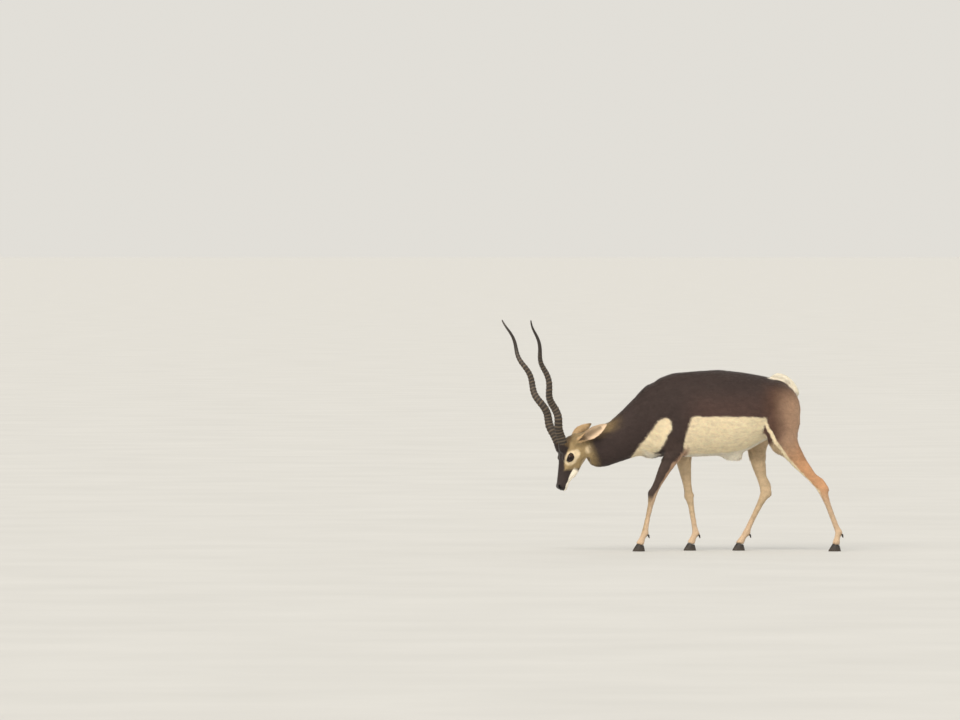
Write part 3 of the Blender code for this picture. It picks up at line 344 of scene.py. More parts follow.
@dataclass
class Markings:
    """Where each colour of the coat lies, worked out from places alone, so that skin and tufts agree."""

    palette: Palette = field(default_factory=Palette)
    # Corners of the two pale patches of the side view, as X and Z
    side_panel: tuple = (
        (0.030, 0.400),
        (0.340, 0.400),
        (0.384, 0.493),
        (0.405, 0.560),
        (0.413, 0.592),
        (0.079, 0.592),
    )
    chest_wedge: tuple = (
        (-0.190, 0.402),
        (-0.045, 0.452),
        (-0.022, 0.500),
        (0.004, 0.548),
        (-0.020, 0.592),
        (-0.052, 0.588),
    )

    def mix(self, under: np.ndarray, code: str, share: np.ndarray) -> np.ndarray:
        """Lays a colour over others.

        Args:
            under: Linear colours, one to a row.
            code: The sRGB colour on top.
            share: How much of it shows at each place.

        Returns:
            The mixed colours.
        """
        share = np.clip(share, 0.0, 1.0)[:, None]
        return under * (1.0 - share) + np.array(linear(code)) * share

    def body(self, p: np.ndarray, n: np.ndarray) -> np.ndarray:
        """Colours of the trunk, neck, legs and tail.

        Args:
            p: Places in the layout's coordinates.
            n: The skin's directions there.

        Returns:
            Linear colours.
        """
        c = self.palette
        waves = [ripple(p, size, seed) for size, seed in ((0.022, 0.0), (0.030, 2.0), (0.022, 4.0))]
        ragged = p + 0.0028 * np.stack(waves, axis=1)
        x, y, z = ragged.T
        made = np.tile(np.array(linear(c.saddle)), (len(p), 1))
        made = self.mix(made, c.flank, ramp(z, 0.74, 0.61) * ramp(x, 0.00, 0.16) * 0.9)
        made = self.mix(made, c.haunch, ramp(x, 0.36, 0.46) * ramp(z, 0.77, 0.68))
        rear = ramp(x - 0.10 * (0.60 - z), 0.428, 0.545) * ramp(z, 0.755, 0.64)
        made = self.mix(made, c.rear, rear)
        past = past_head(p)
        nape = ramp(past, 0.205, 0.09) * ramp(n[:, 2] - 0.5 * n[:, 0], 0.15, 0.75)
        made = self.mix(made, c.nape, nape * 0.85)
        made = self.mix(made, c.cheek, ramp(past, 0.032, 0.0) * 0.7)
        made = self.mix(made, c.cream, patch(ragged, self.side_panel, 0.006, 0.004) * (z > 0.36))
        under = ramp(n[:, 2], -0.30, -0.60) * ramp(z, 0.56, 0.50) * ramp(x, 0.02, 0.05)
        made = self.mix(made, c.cream, under * (x < 0.5))
        made = self.mix(made, c.cream, patch(ragged, self.chest_wedge, 0.006, 0.010))
        middle = ramp(np.abs(y), 0.046, 0.034) * ramp(z, 0.56, 0.50)
        middle *= ramp(x, -0.15, -0.10) * ramp(x, 0.56, 0.50)
        made = self.mix(made, c.white, middle)
        made = self.foreleg(made, ragged, n)
        made = self.hindleg(made, ragged, n)
        return self.tail(made, p, n)

    def foreleg(self, made: np.ndarray, p: np.ndarray, n: np.ndarray) -> np.ndarray:
        """Lays the dark stripe over the forelegs, and their inner sides, pale but darkened with painted
        shade.

        Args:
            made: The colours so far.
            p: Places in the layout's coordinates.
            n: The skin's directions there.

        Returns:
            Linear colours.
        """
        c = self.palette
        z = p[:, 2]
        aft = behind_leg("fore", p)
        half = np.interp(z, (0.0, 0.25, 0.35, 0.45, 0.50), (0.040, 0.040, 0.045, 0.065, 0.075))
        leg = ramp(np.abs(aft - 0.004), half, half - 0.010) * ramp(z, 0.475, 0.440)
        leg *= ramp(p[:, 0], 0.24, 0.22)
        outward = n[:, 1] * np.sign(p[:, 1])
        back_edge = np.interp(z, (0.20, 0.24, 0.344, 0.403, 0.487), (0.000, 0.007, 0.014, 0.022, 0.046))
        band = ramp(aft - back_edge, 0.005, -0.003) * ramp(outward, -0.25, 0.05)
        made = self.mix(made, c.rear, leg * ramp(outward, -0.1, 0.2) * (1.0 - band))
        made = self.mix(made, c.shank, leg * ramp(z, 0.34, 0.20))
        # Inner sides: a tan that carries painted shade
        inner = leg * ramp(outward, 0.0, -0.40)
        made = self.mix(made, c.inner, inner * ramp(z, 0.10, 0.20))
        edge = np.interp(z, (0.405, 0.430, 0.470, 0.520), (-0.100, -0.050, -0.034, -0.006))
        stripe = band * ramp(aft - edge, -0.005, 0.004) * ramp(z, 0.520, 0.500) * ramp(z, 0.205, 0.250)
        made = self.mix(made, c.stripe, stripe * ramp(np.abs(aft), 0.100, 0.085))
        shin = leg * ramp(z, 0.25, 0.22) * ramp(z, 0.06, 0.10) * ramp(-n[:, 0] + 0.4 * outward, 0.45, 0.95)
        return self.mix(made, c.cheek, shin * 0.55)

    def hindleg(self, made: np.ndarray, p: np.ndarray, n: np.ndarray) -> np.ndarray:
        """Lays the tan rear, the thin pale front edge and the inner sides, darkened with painted shade, over
        the hind legs.

        Args:
            made: The colours so far.
            p: Places in the layout's coordinates.
            n: The skin's directions there.

        Returns:
            Linear colours.
        """
        c = self.palette
        x, _, z = p.T
        aft = behind_leg("hind", p)
        outward = n[:, 1] * np.sign(p[:, 1])
        leg = ramp(x, 0.20, 0.25) * ramp(z, 0.56, 0.50)
        leg *= ramp(aft, -0.115, -0.095) * ramp(outward, -0.2, 0.3)
        made = self.mix(made, c.rear, leg * ramp(z - 0.9 * aft, 0.53, 0.45) * 0.85)
        made = self.mix(made, c.gaskin, leg * ramp(z - 0.6 * aft, 0.48, 0.37))
        low = ramp(x, 0.20, 0.25) * ramp(np.abs(aft), 0.10, 0.08)
        made = self.mix(made, c.shank, low * ramp(z, 0.30, 0.18))
        heights = (0.24, 0.33, 0.40, 0.475, 0.546, 0.60)
        front = np.interp(z, heights, (-0.022, -0.027, -0.031, -0.022, -0.057, -0.082))
        fold = ramp(aft - front, 0.0, -0.010) * ramp(aft - front, -0.075, -0.055)
        line = ramp(np.abs(aft - front - 0.003), 0.0105, 0.0065) * ramp(z, 0.23, 0.28) * ramp(z, 0.600, 0.580)
        # The fold in front of the pale line takes the inner sides' tan, with its painted shade
        under = fold * ramp(z, 0.30, 0.36) * ramp(z, 0.492, 0.462)
        made = self.mix(made, c.inner, ramp(x, 0.22, 0.26) * under)
        made = self.mix(made, c.cream, ramp(x, 0.22, 0.26) * line)
        # Inner sides: a tan that carries painted shade
        inner = ramp(x, 0.22, 0.27) * ramp(outward, 0.0, -0.45) * ramp(z, 0.58, 0.53) * ramp(z, 0.10, 0.22)
        return self.mix(made, c.inner, inner)

    def tail(self, made: np.ndarray, p: np.ndarray, n: np.ndarray) -> np.ndarray:
        """Whitens the tail, whose white underside is turned up and back, and the skin at its root.

        Args:
            made: The colours so far.
            p: Places in the layout's coordinates.
            n: The skin's directions there.

        Returns:
            Linear colours.
        """
        c = self.palette
        apart, share = near_tail(p)
        tail = ramp(apart, 0.0215, 0.0180) * ramp(share, 0.08, 0.18)
        made = self.mix(made, c.white, tail)
        spread = np.hypot(p[:, 1] / 0.034, (p[:, 2] - 0.650) / 0.052) + 5.0 * ripple(p, 0.02) * 0.02
        root = ramp(spread, 1.05, 0.45) * ramp(p[:, 0], 0.50, 0.53)
        return self.mix(made, c.white, root * ramp(n[:, 0], 0.2, 0.6) * 0.85)

    def face(self, h: np.ndarray, n: np.ndarray) -> np.ndarray:
        """Colours of the head.

        Args:
            h: Places in the head's frame.
            n: Directions in the head's frame.

        Returns:
            Linear colours.
        """
        c = self.palette
        x, y, z = h.T
        side = np.abs(y)
        wobble = 0.0025 * ripple(h, 0.018)
        made = np.tile(np.array(linear(c.cheek)), (len(h), 1))
        made = self.mix(made, c.crown, ramp(z + wobble, 0.030, 0.044) * ramp(x, -0.085, -0.060))
        made = self.mix(made, c.nape, ramp(x, 0.0, 0.03) * ramp(z, 0.0, 0.03) * 0.8)
        along = (-0.220, -0.178, -0.150, -0.125, -0.100, -0.070)
        bridge = np.interp(x, along, (0.000, 0.016, 0.027, 0.037, 0.047, 0.056))
        blaze = ramp(z - bridge + 0.019 + wobble, -0.005, 0.005) * ramp(x, -0.050, -0.066)
        made = self.mix(made, c.mask, blaze)
        muzzle = ramp(x + 0.7 * (z + 0.02) + wobble, -0.124, -0.146)
        made = self.mix(made, c.mask, muzzle)
        outer_side = ramp(side, 0.022, 0.030)
        spot = np.hypot((x + 0.0935) / 0.0325, (z - 0.0055) / 0.0265)
        made = self.mix(made, c.ring, ramp(spot + 20 * wobble, 1.26, 0.80) * outer_side)
        behind = np.hypot((x + 0.072) / 0.024, (z + 0.006) / 0.0190)
        made = self.mix(made, c.ring, ramp(behind + 16 * wobble, 1.25, 0.70) * outer_side)
        jaw = np.hypot((x + 0.022) / 0.022, (z + 0.048) / 0.018)
        made = self.mix(made, c.ring, ramp(jaw + 16 * wobble, 1.20, 0.50) * 0.75)
        chin = ramp(z - 0.115 * (x + 0.22) + wobble, -0.0345, -0.0375) * ramp(x, -0.118, -0.136)
        made = self.mix(made, c.white, chin)
        throat = ramp(n[:, 2], -0.45, -0.80) * ramp(x, -0.17, -0.14) * 0.55
        made = self.mix(made, c.ring, throat)
        rim = np.hypot((x + 0.093) / 0.0205, (z - 0.012) / 0.0155)
        made = self.mix(made, c.lip, ramp(rim, 1.10, 0.98) * ramp(side, 0.030, 0.036))
        pad = ramp(x, -0.2180, -0.2240) * ramp(z, -0.030, -0.026)
        made = self.mix(made, c.lip, pad)
        # The nostril slits are painted near black: dark skin plus painted shade inside the openings
        hollow = np.minimum(*(near_nostril(h, which)[0] for which in SIDES))
        return self.mix(made, c.hollow, ramp(hollow, 0.0042, 0.0028))

    def colours(self, points: np.ndarray, normals: np.ndarray) -> np.ndarray:
        """Colours at places on the skin.

        Args:
            points: Places in the scene.
            normals: The skin's directions there.

        Returns:
            Linear colours, one to a row.
        """
        plain = laid_out(points)
        body = self.body(plain, normals)
        head = in_head_frame(points)
        face = self.face(head, normals @ HEAD_BACK[:3, :3].T)
        ragged = past_head(plain) + 0.006 * ripple(plain, 0.03)
        share = (ramp(ragged, 0.012, -0.012) * (head[:, 0] < 0.09))[:, None]
        return body * (1.0 - share) + face * share


def new_object(name: str, bm: bmesh.types.BMesh) -> bpy.types.Object:
    """Makes an object of a bmesh and frees it.

    Args:
        name: The piece's name.
        bm: Its shape.

    Returns:
        The object, at the origin.
    """
    mesh = bpy.data.meshes.new(name)
    bm.to_mesh(mesh)
    bm.free()
    obj = bpy.data.objects.new(name, mesh)
    bpy.context.scene.collection.objects.link(obj)
    return obj


def settle(obj: bpy.types.Object) -> None:
    """Replaces the object's mesh by what its modifiers make of it.

    Args:
        obj: The object.
    """
    graph = bpy.context.evaluated_depsgraph_get()
    made = bpy.data.meshes.new_from_object(obj.evaluated_get(graph))
    obj.modifiers.clear()
    obj.data = made


def places(mesh: bpy.types.Mesh) -> np.ndarray:
    """Reads where a mesh's points lie.

    Args:
        mesh: The mesh.

    Returns:
        Places, one to a row.
    """
    found = np.empty(len(mesh.vertices) * 3)
    mesh.vertices.foreach_get("co", found)
    return found.reshape(-1, 3)


def directions(mesh: bpy.types.Mesh) -> np.ndarray:
    """Reads which way a mesh faces at its points.

    Args:
        mesh: The mesh.

    Returns:
        Directions, one to a row.
    """
    found = np.empty(len(mesh.vertices) * 3)
    mesh.vertex_normals.foreach_get("vector", found)
    return found.reshape(-1, 3)


def move_points(mesh: bpy.types.Mesh, made: np.ndarray) -> None:
    """Puts the mesh's points at new places."""
    mesh.vertices.foreach_set("co", np.ascontiguousarray(made, np.float32).ravel())
    mesh.update()


def paint(mesh: bpy.types.Mesh, name: str, colours: np.ndarray) -> None:
    """Stores a linear colour at every point of the mesh.

    Args:
        mesh: The mesh to paint.
        name: The attribute's name.
        colours: One row of red, green and blue to a point.
    """
    layer = mesh.color_attributes.new(name=name, type="FLOAT_COLOR", domain="POINT")
    full = np.ones((len(mesh.vertices), 4), np.float32)
    full[:, :3] = colours
    layer.data.foreach_set("color", full.ravel())


def unwrap(obj: bpy.types.Object) -> None:
    """Unwraps a surface's own shape into the map that the tufts on it share.

    Args:
        obj: The surface.
    """
    obj.data.uv_layers.new(name="OFBake")
    bpy.context.view_layer.objects.active = obj
    obj.select_set(True)
    bpy.ops.object.mode_set(mode="EDIT")
    bpy.ops.mesh.select_all(action="SELECT")
    bpy.ops.uv.smart_project(angle_limit=math.radians(66), island_margin=0.002)
    bpy.ops.object.mode_set(mode="OBJECT")
    obj.select_set(False)


def dress(obj: bpy.types.Object, finish: bpy.types.Material, colours: np.ndarray) -> None:
    """Paints a piece, shades it smooth and gives it its finish.

    Args:
        obj: The piece.
        finish: Its material.
        colours: A linear colour for each of its points.
    """
    paint(obj.data, "coat", colours)
    obj.data.shade_smooth()
    obj.data.materials.append(finish)


def finish_of(name: str) -> tuple[bpy.types.Material, bpy.types.Node]:
    """Starts a material.

    Args:
        name: What the real surface is.

    Returns:
        The material and its Principled shader.
    """
    made = bpy.data.materials.new(name)
    made.use_nodes = True
    return made, made.node_tree.nodes["Principled BSDF"]


def add_node(tree: bpy.types.NodeTree, kind: str, settings: dict, links: dict) -> bpy.types.Node:
    """Adds one node with its settings and links.

    Args:
        tree: The material's nodes.
        kind: The node's type.
        settings: Properties by name, and input values by index or name.
        links: Input sockets by index or name, each with the socket that feeds it.

    Returns:
        The node.
    """
    node = tree.nodes.new(kind)
    for key, value in settings.items():
        if isinstance(key, str) and hasattr(node, key):
            setattr(node, key, value)
        else:
            node.inputs[key].default_value = value
    for key, socket in links.items():
        tree.links.new(socket, node.inputs[key])
    return node


@dataclass(frozen=True)
class CoatFinish:
    """Short dry hair: soft and matte, with a little sheen along its lie."""

    name: str
    roughness: float = 0.62
    sheen: float = 0.18
    sheen_roughness: float = 0.45
    specular: float = 0.28
    # A real hair is a tenth of a millimetre thick: strands are drawn this coarse so that they show
    strand_mm: float = 1.1
    clump_mm: float = 1000 / 55
    relief_mm: float = 0.6
    bump: float = 0.35

    def material(self) -> bpy.types.Material:
        """Builds the material from the painted markings.

        Returns:
            The material.
        """
        made, shader = finish_of(self.name)
        tree = made.node_tree
        coat = add_node(tree, "ShaderNodeAttribute", {"attribute_name": "coat"}, {})
        where = add_node(tree, "ShaderNodeTexCoord", {}, {})
        stretch = add_node(
            tree,
            "ShaderNodeMapping",
            {"Scale": (0.16, 1.0, 0.45)},
            {"Vector": where.outputs["Object"]},
        )
        strands = add_node(
            tree,
            "ShaderNodeTexNoise",
            {"Scale": 1000.0 / self.strand_mm / 6.0, "Detail": 3.0, "Roughness": 0.6},
            {"Vector": stretch.outputs["Vector"]},
        )
        clumps = add_node(
            tree,
            "ShaderNodeTexNoise",
            {"Scale": 1000.0 / self.clump_mm, "Detail": 2.0},
            {"Vector": where.outputs["Object"]},
        )
        shades = [
            add_node(
                tree,
                "ShaderNodeMapRange",
                {"From Min": 0.3, "From Max": 0.7, "To Min": low, "To Max": high},
                {"Value": source.outputs["Fac"]},
            )
            for source, low, high in ((strands, 0.89, 1.11), (clumps, 0.95, 1.05))
        ]
        both = add_node(
            tree,
            "ShaderNodeMath",
            {"operation": "MULTIPLY"},
            {0: shades[0].outputs[0], 1: shades[1].outputs[0]},
        )
        tone = add_node(
            tree,
            "ShaderNodeVectorMath",
            {"operation": "SCALE"},
            {0: coat.outputs["Color"], "Scale": both.outputs[0]},
        )
        relief = add_node(
            tree,
            "ShaderNodeBump",
            {"Strength": self.bump, "Distance": self.relief_mm / 1000},
            {"Height": strands.outputs["Fac"]},
        )
        tree.links.new(tone.outputs[0], shader.inputs["Base Color"])
        tree.links.new(relief.outputs[0], shader.inputs["Normal"])
        shader.inputs["Roughness"].default_value = self.roughness
        shader.inputs["Sheen Weight"].default_value = self.sheen
        shader.inputs["Sheen Roughness"].default_value = self.sheen_roughness
        shader.inputs["Specular IOR Level"].default_value = self.specular
        return made


@dataclass(frozen=True)
class HornFinish:
    """Weathered keratin: dark grey-brown, paler on the worn ridges, polished towards the tip."""

    groove: str = "#241d18"
    body: str = "#3a3027"
    ridge: str = "#615342"
    dust: str = "#4c4136"
    # The fibres are finer than this on a real horn: the grain is coarser so that it shows
    grain_mm: float = 0.9
    stain_mm: float = 1000 / 28
    relief_mm: float = 0.5
    dull: float = 0.62
    polished: float = 0.30
    ior: float = 1.54

    def material(self) -> bpy.types.Material:
        """Builds the material from the horn's painted relief.

        Returns:
            The material.
        """
        made, shader = finish_of("weathered_horn")
        tree = made.node_tree
        relief = add_node(tree, "ShaderNodeAttribute", {"attribute_name": "coat"}, {})
        parts = add_node(tree, "ShaderNodeSeparateColor", {}, {"Color": relief.outputs["Color"]})
        where = add_node(tree, "ShaderNodeTexCoord", {}, {})
        grain = add_node(
            tree,
            "ShaderNodeTexNoise",
            {"Scale": 1000.0 / self.grain_mm / 4.0, "Detail": 4.0, "Roughness": 0.65},
            {"Vector": where.outputs["Object"]},
        )
        stain = add_node(
            tree,
            "ShaderNodeTexNoise",
            {"Scale": 1000.0 / self.stain_mm, "Detail": 3.0},
            {"Vector": where.outputs["Object"]},
        )
        worn = add_node(
            tree,
            "ShaderNodeMath",
            {"operation": "MULTIPLY_ADD", 1: 0.55},
            {0: grain.outputs["Fac"], 2: parts.outputs["Red"]},
        )
        tone = add_node(tree, "ShaderNodeValToRGB", {}, {"Fac": worn.outputs[0]})
        stops = tone.color_ramp.elements
        stops[0].position, stops[0].color = 0.22, (*linear(self.groove), 1.0)
        stops[1].position, stops[1].color = 1.0, (*linear(self.ridge), 1.0)
        middle = stops.new(0.55)
        middle.color = (*linear(self.body), 1.0)
        dust = add_node(
            tree,
            "ShaderNodeMix",
            {"data_type": "RGBA", 7: (*linear(self.dust), 1.0)},
            {6: tone.outputs[0]},
        )
        share = add_node(
            tree,
            "ShaderNodeMapRange",
            {"From Min": 0.45, "From Max": 0.75, "To Min": 0.0, "To Max": 0.35},
            {"Value": stain.outputs["Fac"]},
        )
        tree.links.new(share.outputs[0], dust.inputs[0])
        bump = add_node(
            tree,
            "ShaderNodeBump",
            {"Strength": 0.5, "Distance": self.relief_mm / 1000},
            {"Height": grain.outputs["Fac"]},
        )
        gloss = add_node(
            tree,
            "ShaderNodeMapRange",
            {"To Min": self.dull, "To Max": self.polished},
            {"Value": parts.outputs["Green"]},
        )
        tree.links.new(dust.outputs[2], shader.inputs["Base Color"])
        tree.links.new(gloss.outputs[0], shader.inputs["Roughness"])
        tree.links.new(bump.outputs[0], shader.inputs["Normal"])
        shader.inputs["IOR"].default_value = self.ior
        return made


@dataclass(frozen=True)
class HoofFinish:
    """Hoof horn: near black, dull with dust, with faint growth lines that run round it."""

    dark: str = "#1d1917"
    dusty: str = "#5c5044"
    line_mm: float = 1.6
    speck_mm: float = 6.25
    dust_height: float = 0.030
    relief_mm: float = 0.5
    roughness: float = 0.52
    ior: float = 1.54

    def material(self) -> bpy.types.Material:
        """Builds the material.

        Returns:
            The material.
        """
        made, shader = finish_of("dusty_hoof_horn")
        tree = made.node_tree
        where = add_node(tree, "ShaderNodeTexCoord", {}, {})
        axes = add_node(tree, "ShaderNodeSeparateXYZ", {}, {"Vector": where.outputs["Object"]})
        lines = add_node(
            tree,
            "ShaderNodeTexNoise",
            {"noise_dimensions": "1D", "Scale": 1000.0 / self.line_mm / 4.0, "Detail": 2.0},
            {"W": axes.outputs["Z"]},
        )
        specks = add_node(
            tree,
            "ShaderNodeTexNoise",
            {"Scale": 1000.0 / self.speck_mm, "Detail": 4.0},
            {"Vector": where.outputs["Object"]},
        )
        low = add_node(
            tree,
            "ShaderNodeMapRange",
            {"From Min": self.dust_height, "From Max": 0.0, "To Min": 0.05, "To Max": 0.75},
            {"Value": axes.outputs["Z"]},
        )
        dust = add_node(
            tree, "ShaderNodeMath", {"operation": "MULTIPLY"}, {0: low.outputs[0], 1: specks.outputs["Fac"]}
        )
        tone = add_node(
            tree,
            "ShaderNodeMix",
            {"data_type": "RGBA", 6: (*linear(self.dark), 1.0), 7: (*linear(self.dusty), 1.0)},
            {0: dust.outputs[0]},
        )
        bump = add_node(
            tree,
            "ShaderNodeBump",
            {"Strength": 0.35, "Distance": self.relief_mm / 1000},
            {"Height": lines.outputs["Fac"]},
        )
        tree.links.new(tone.outputs[2], shader.inputs["Base Color"])
        tree.links.new(bump.outputs[0], shader.inputs["Normal"])
        shader.inputs["Roughness"].default_value = self.roughness
        shader.inputs["IOR"].default_value = self.ior
        return made


@dataclass(frozen=True)
class EyeFinish:
    """A wet, very dark brown eye: a soft body under a thin clear film that gives one sharp glint."""

    roughness: float = 0.30
    specular: float = 0.10
    ior: float = 1.376
    film: float = 0.45
    film_roughness: float = 0.02

    def material(self) -> bpy.types.Material:
        """Builds the material from the painted iris.

        Returns:
            The material.
        """
        made, shader = finish_of("wet_eye")
        tree = made.node_tree
        iris = add_node(tree, "ShaderNodeAttribute", {"attribute_name": "coat"}, {})
        tree.links.new(iris.outputs["Color"], shader.inputs["Base Color"])
        shader.inputs["Roughness"].default_value = self.roughness
        shader.inputs["Specular IOR Level"].default_value = self.specular
        shader.inputs["IOR"].default_value = self.ior
        shader.inputs["Coat Weight"].default_value = self.film
        shader.inputs["Coat Roughness"].default_value = self.film_roughness
        return made


@dataclass
class Skin:
    """The one skin over all the flesh, inside it by the depth of the coat."""

    voxel: float = 0.0051
    overlap: float = 0.0006
    rounds: int = 6
    lid_opening: tuple[float, float] = (0.0168, 0.0124)
    lid_rise: float = 0.0021
    socket_sink: float = 0.0035
    nostril_sink: float = 0.0075
    wing_rise: float = 0.0012
    markings: Markings = field(default_factory=Markings)

    def gather(self) -> bmesh.types.BMesh:
        """Copies the solids of the flesh and fills the eye sockets.

        Returns:
            The closed shells, grown enough to overlap where thin cuts part them.
        """
        bm = bmesh.new()
        for name in (*FLESH, "eye_left", "eye_right"):
            part = bmesh.new()
            part.from_mesh(bpy.data.objects[name].data)
            bmesh.ops.remove_doubles(part, verts=part.verts, dist=1e-5)
            part.normal_update()
            moved = [vert.co + vert.normal * self.overlap for vert in part.verts]
            for vert, place in zip(part.verts, moved):
                vert.co = place
            copy = bpy.data.meshes.new(f"{name}_copy")
            part.to_mesh(copy)
            part.free()
            bm.from_mesh(copy)
            bpy.data.meshes.remove(copy)
        return bm

    def build(self) -> bpy.types.Object:
        """Builds, shapes, paints and unwraps the skin.

        Returns:
            The skin's object.
        """
        obj = new_object("skin", self.gather())
        remesh = obj.modifiers.new("Remesh", "REMESH")
        remesh.mode = "VOXEL"
        remesh.voxel_size = self.voxel
        smooth = obj.modifiers.new("Smooth", "SMOOTH")
        smooth.factor = 0.5
        smooth.iterations = self.rounds
        settle(obj)
        self.keep_largest(obj)
        self.refine(obj)
        self.sculpt(obj.data)
        self.inset(obj.data)
        unwrap(obj)
        colours = self.markings.colours(places(obj.data), directions(obj.data))
        dress(obj, CoatFinish("short_fur_on_skin", bump=0.6).material(), colours)
        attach(obj, ROOT)
        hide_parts(*FLESH)
        LOG.info("skin: %d faces", len(obj.data.polygons))
        return obj

    def keep_largest(self, obj: bpy.types.Object) -> None:
        """Drops all but the largest closed surface.

        Args:
            obj: The skin.
        """
        bm = bmesh.new()
        bm.from_mesh(obj.data)
        left = set(bm.faces)
        best: list = []
        while left:
            front = [left.pop()]
            island = list(front)
            while front:
                for edge in front.pop().edges:
                    for face in edge.link_faces:
                        if face in left:
                            left.remove(face)
                            island.append(face)
                            front.append(face)
            best = max(best, island, key=len)
        kept = set(best)
        bmesh.ops.delete(bm, geom=[face for face in bm.faces if face not in kept], context="FACES")
        bm.to_mesh(obj.data)
        bm.free()

    def refine(self, obj: bpy.types.Object) -> None:
        """Splits the head's faces once, those round eyes and lips again, and the nose once more.

        Args:
            obj: The skin.
        """
        for level in range(3):
            h = in_head_frame(places(obj.data))
            x, y, z = h.T
            chosen = (
                (x < 0.01) & (np.abs(y) < 0.09) & (z > -0.085) & (z < 0.09),
                (from_eyes(h) < 0.027) | (x < -0.168),
                (x < -0.205) & (z > -0.030),
            )[level]
            bm = bmesh.new()
            bm.from_mesh(obj.data)
            bm.verts.ensure_lookup_table()
            edges = [edge for edge in bm.edges if chosen[edge.verts[0].index] and chosen[edge.verts[1].index]]
            bmesh.ops.subdivide_edges(bm, edges=edges, cuts=1, use_grid_fill=True, smooth=0.5)
            bm.to_mesh(obj.data)
            bm.free()

    def sculpt(self, mesh: bpy.types.Mesh) -> None:
        """Shapes lids, mouth and nostrils by formula.

        Args:
            mesh: The skin's mesh.
        """
        h = in_head_frame(places(mesh))
        for side in SIDES:
            h = self.lids(h, side)
        h = self.mouth(h)
        for side in SIDES:
            h = self.nostril(h, side)
        back = np.array(HEAD)
        move_points(mesh, h @ back[:3, :3].T + back[:3, 3])

    def lids(self, h: np.ndarray, side: Side) -> np.ndarray:
        """Opens the almond of an eye and raises its lids.

        Args:
            h: Places in the head's frame.
            side: Which eye.

        Returns:
            The moved places.
        """
        offset, above, almond = from_eye_slit(h, side, self.lid_opening)
        reach_out = np.linalg.norm(offset, axis=1)
        near = (reach_out > 1e-6) & (reach_out < 0.05) & (offset[:, 1] * side.value > 0.0005)
        reach_out = np.maximum(reach_out, 1e-6)
        edge = ramp(almond, 0.93, 1.10)
        raised = EYE_RADIUS + self.lid_rise + 0.0012 * ramp(almond, 1.5, 1.2)
        wanted = (EYE_RADIUS - self.socket_sink) * (1 - edge) + raised * edge
        hold = near * (1.0 - ramp(almond, 1.30, 2.30))
        crease = near * np.exp(-(((almond - 1.62) / 0.12) ** 2)) * ramp(above, -0.004, 0.004) * 0.0010
        scale = 1.0 + (wanted / reach_out - 1.0) * hold - crease / reach_out
        return np.array(side.of(EYE_PLACE)) + offset * scale[:, None]

    def mouth(self, h: np.ndarray) -> np.ndarray:
        """Presses the line of the mouth in, and parts the lips from the chin.

        Args:
            h: Places in the head's frame.

        Returns:
            The moved places.
        """
        x, y, z = h.T
        back = ramp(x, -0.205, -0.155)
        line = -0.0335 - 0.0100 * back**1.4
        gap = (z - line) / 0.0016
        press = np.exp(-(gap**2)) * ramp(x, -0.150, -0.160) * 0.0026
        lip = np.exp(-(((z - line - 0.0042) / 0.0030) ** 2)) * ramp(x, -0.150, -0.175) * 0.0009
        centre = np.stack([np.maximum(x, -0.205), 0 * y, line], axis=1)
        out = h - centre
        length = np.maximum(np.linalg.norm(out, axis=1), 1e-6)
        inside = length < 0.045
        return h + out / length[:, None] * ((lip - press) * inside)[:, None]

    def nostril(self, h: np.ndarray, side: Side) -> np.ndarray:
        """Sinks a curled slit into the nose and raises its wing.

        Args:
            h: Places in the head's frame.
            side: Which nostril.

        Returns:
            The moved places.
        """
        nearest, outward = near_nostril(h, side)
        sink = np.exp(-((nearest / 0.0026) ** 4)) * self.nostril_sink
        wing = np.exp(-(((nearest - 0.0052) / 0.0020) ** 2)) * self.wing_rise
        return h + outward * (wing - sink)[:, None]

    def inset(self, mesh: bpy.types.Mesh) -> None:
        """Draws the skin in by the depth of the coat that lies over it."""
        p = places(mesh)
        move_points(mesh, p - directions(mesh) * coat_depth(p)[:, None])


def coat_depth(points: np.ndarray) -> np.ndarray:
    """How deep the coat lies over the skin, in metres.

    Args:
        points: Places in the scene.

    Returns:
        Depths: a few millimetres on the trunk, one on the legs, and less on the face.
    """
    h = in_head_frame(points)
    depth = 0.0010 + 0.0024 * ramp(laid_out(points)[:, 2], 0.36, 0.47)
    face = ramp(h[:, 0], 0.03, -0.04) * (np.abs(h[:, 1]) < 0.08)
    return depth * (1 - face) + 0.0005 * face


def loft(bm: bmesh.types.BMesh, rings: list[list[Vector]]) -> None:
    """Skins a tube over rings of equally many points, and caps both ends.

    Args:
        bm: The mesh that receives the tube.
        rings: The rings in order, each a list of points.
    """
    loops = []
    for ring in rings:
        made = bmesh.ops.create_circle(bm, cap_ends=False, segments=len(ring), radius=1.0)
        for vert, place in zip(made["verts"], ring):
            vert.co = place
        loops.append(list({edge for vert in made["verts"] for edge in vert.link_edges}))
    for below, above in zip(loops, loops[1:]):
        bmesh.ops.bridge_loops(bm, edges=below + above)
    for end in (loops[0], loops[-1]):
        bmesh.ops.contextual_create(bm, geom=end)


def close_up(bm: bmesh.types.BMesh) -> None:
    """Merges doubled points and points all faces outwards."""
    bmesh.ops.remove_doubles(bm, verts=bm.verts, dist=1e-6)
    bmesh.ops.recalc_face_normals(bm, faces=bm.faces)


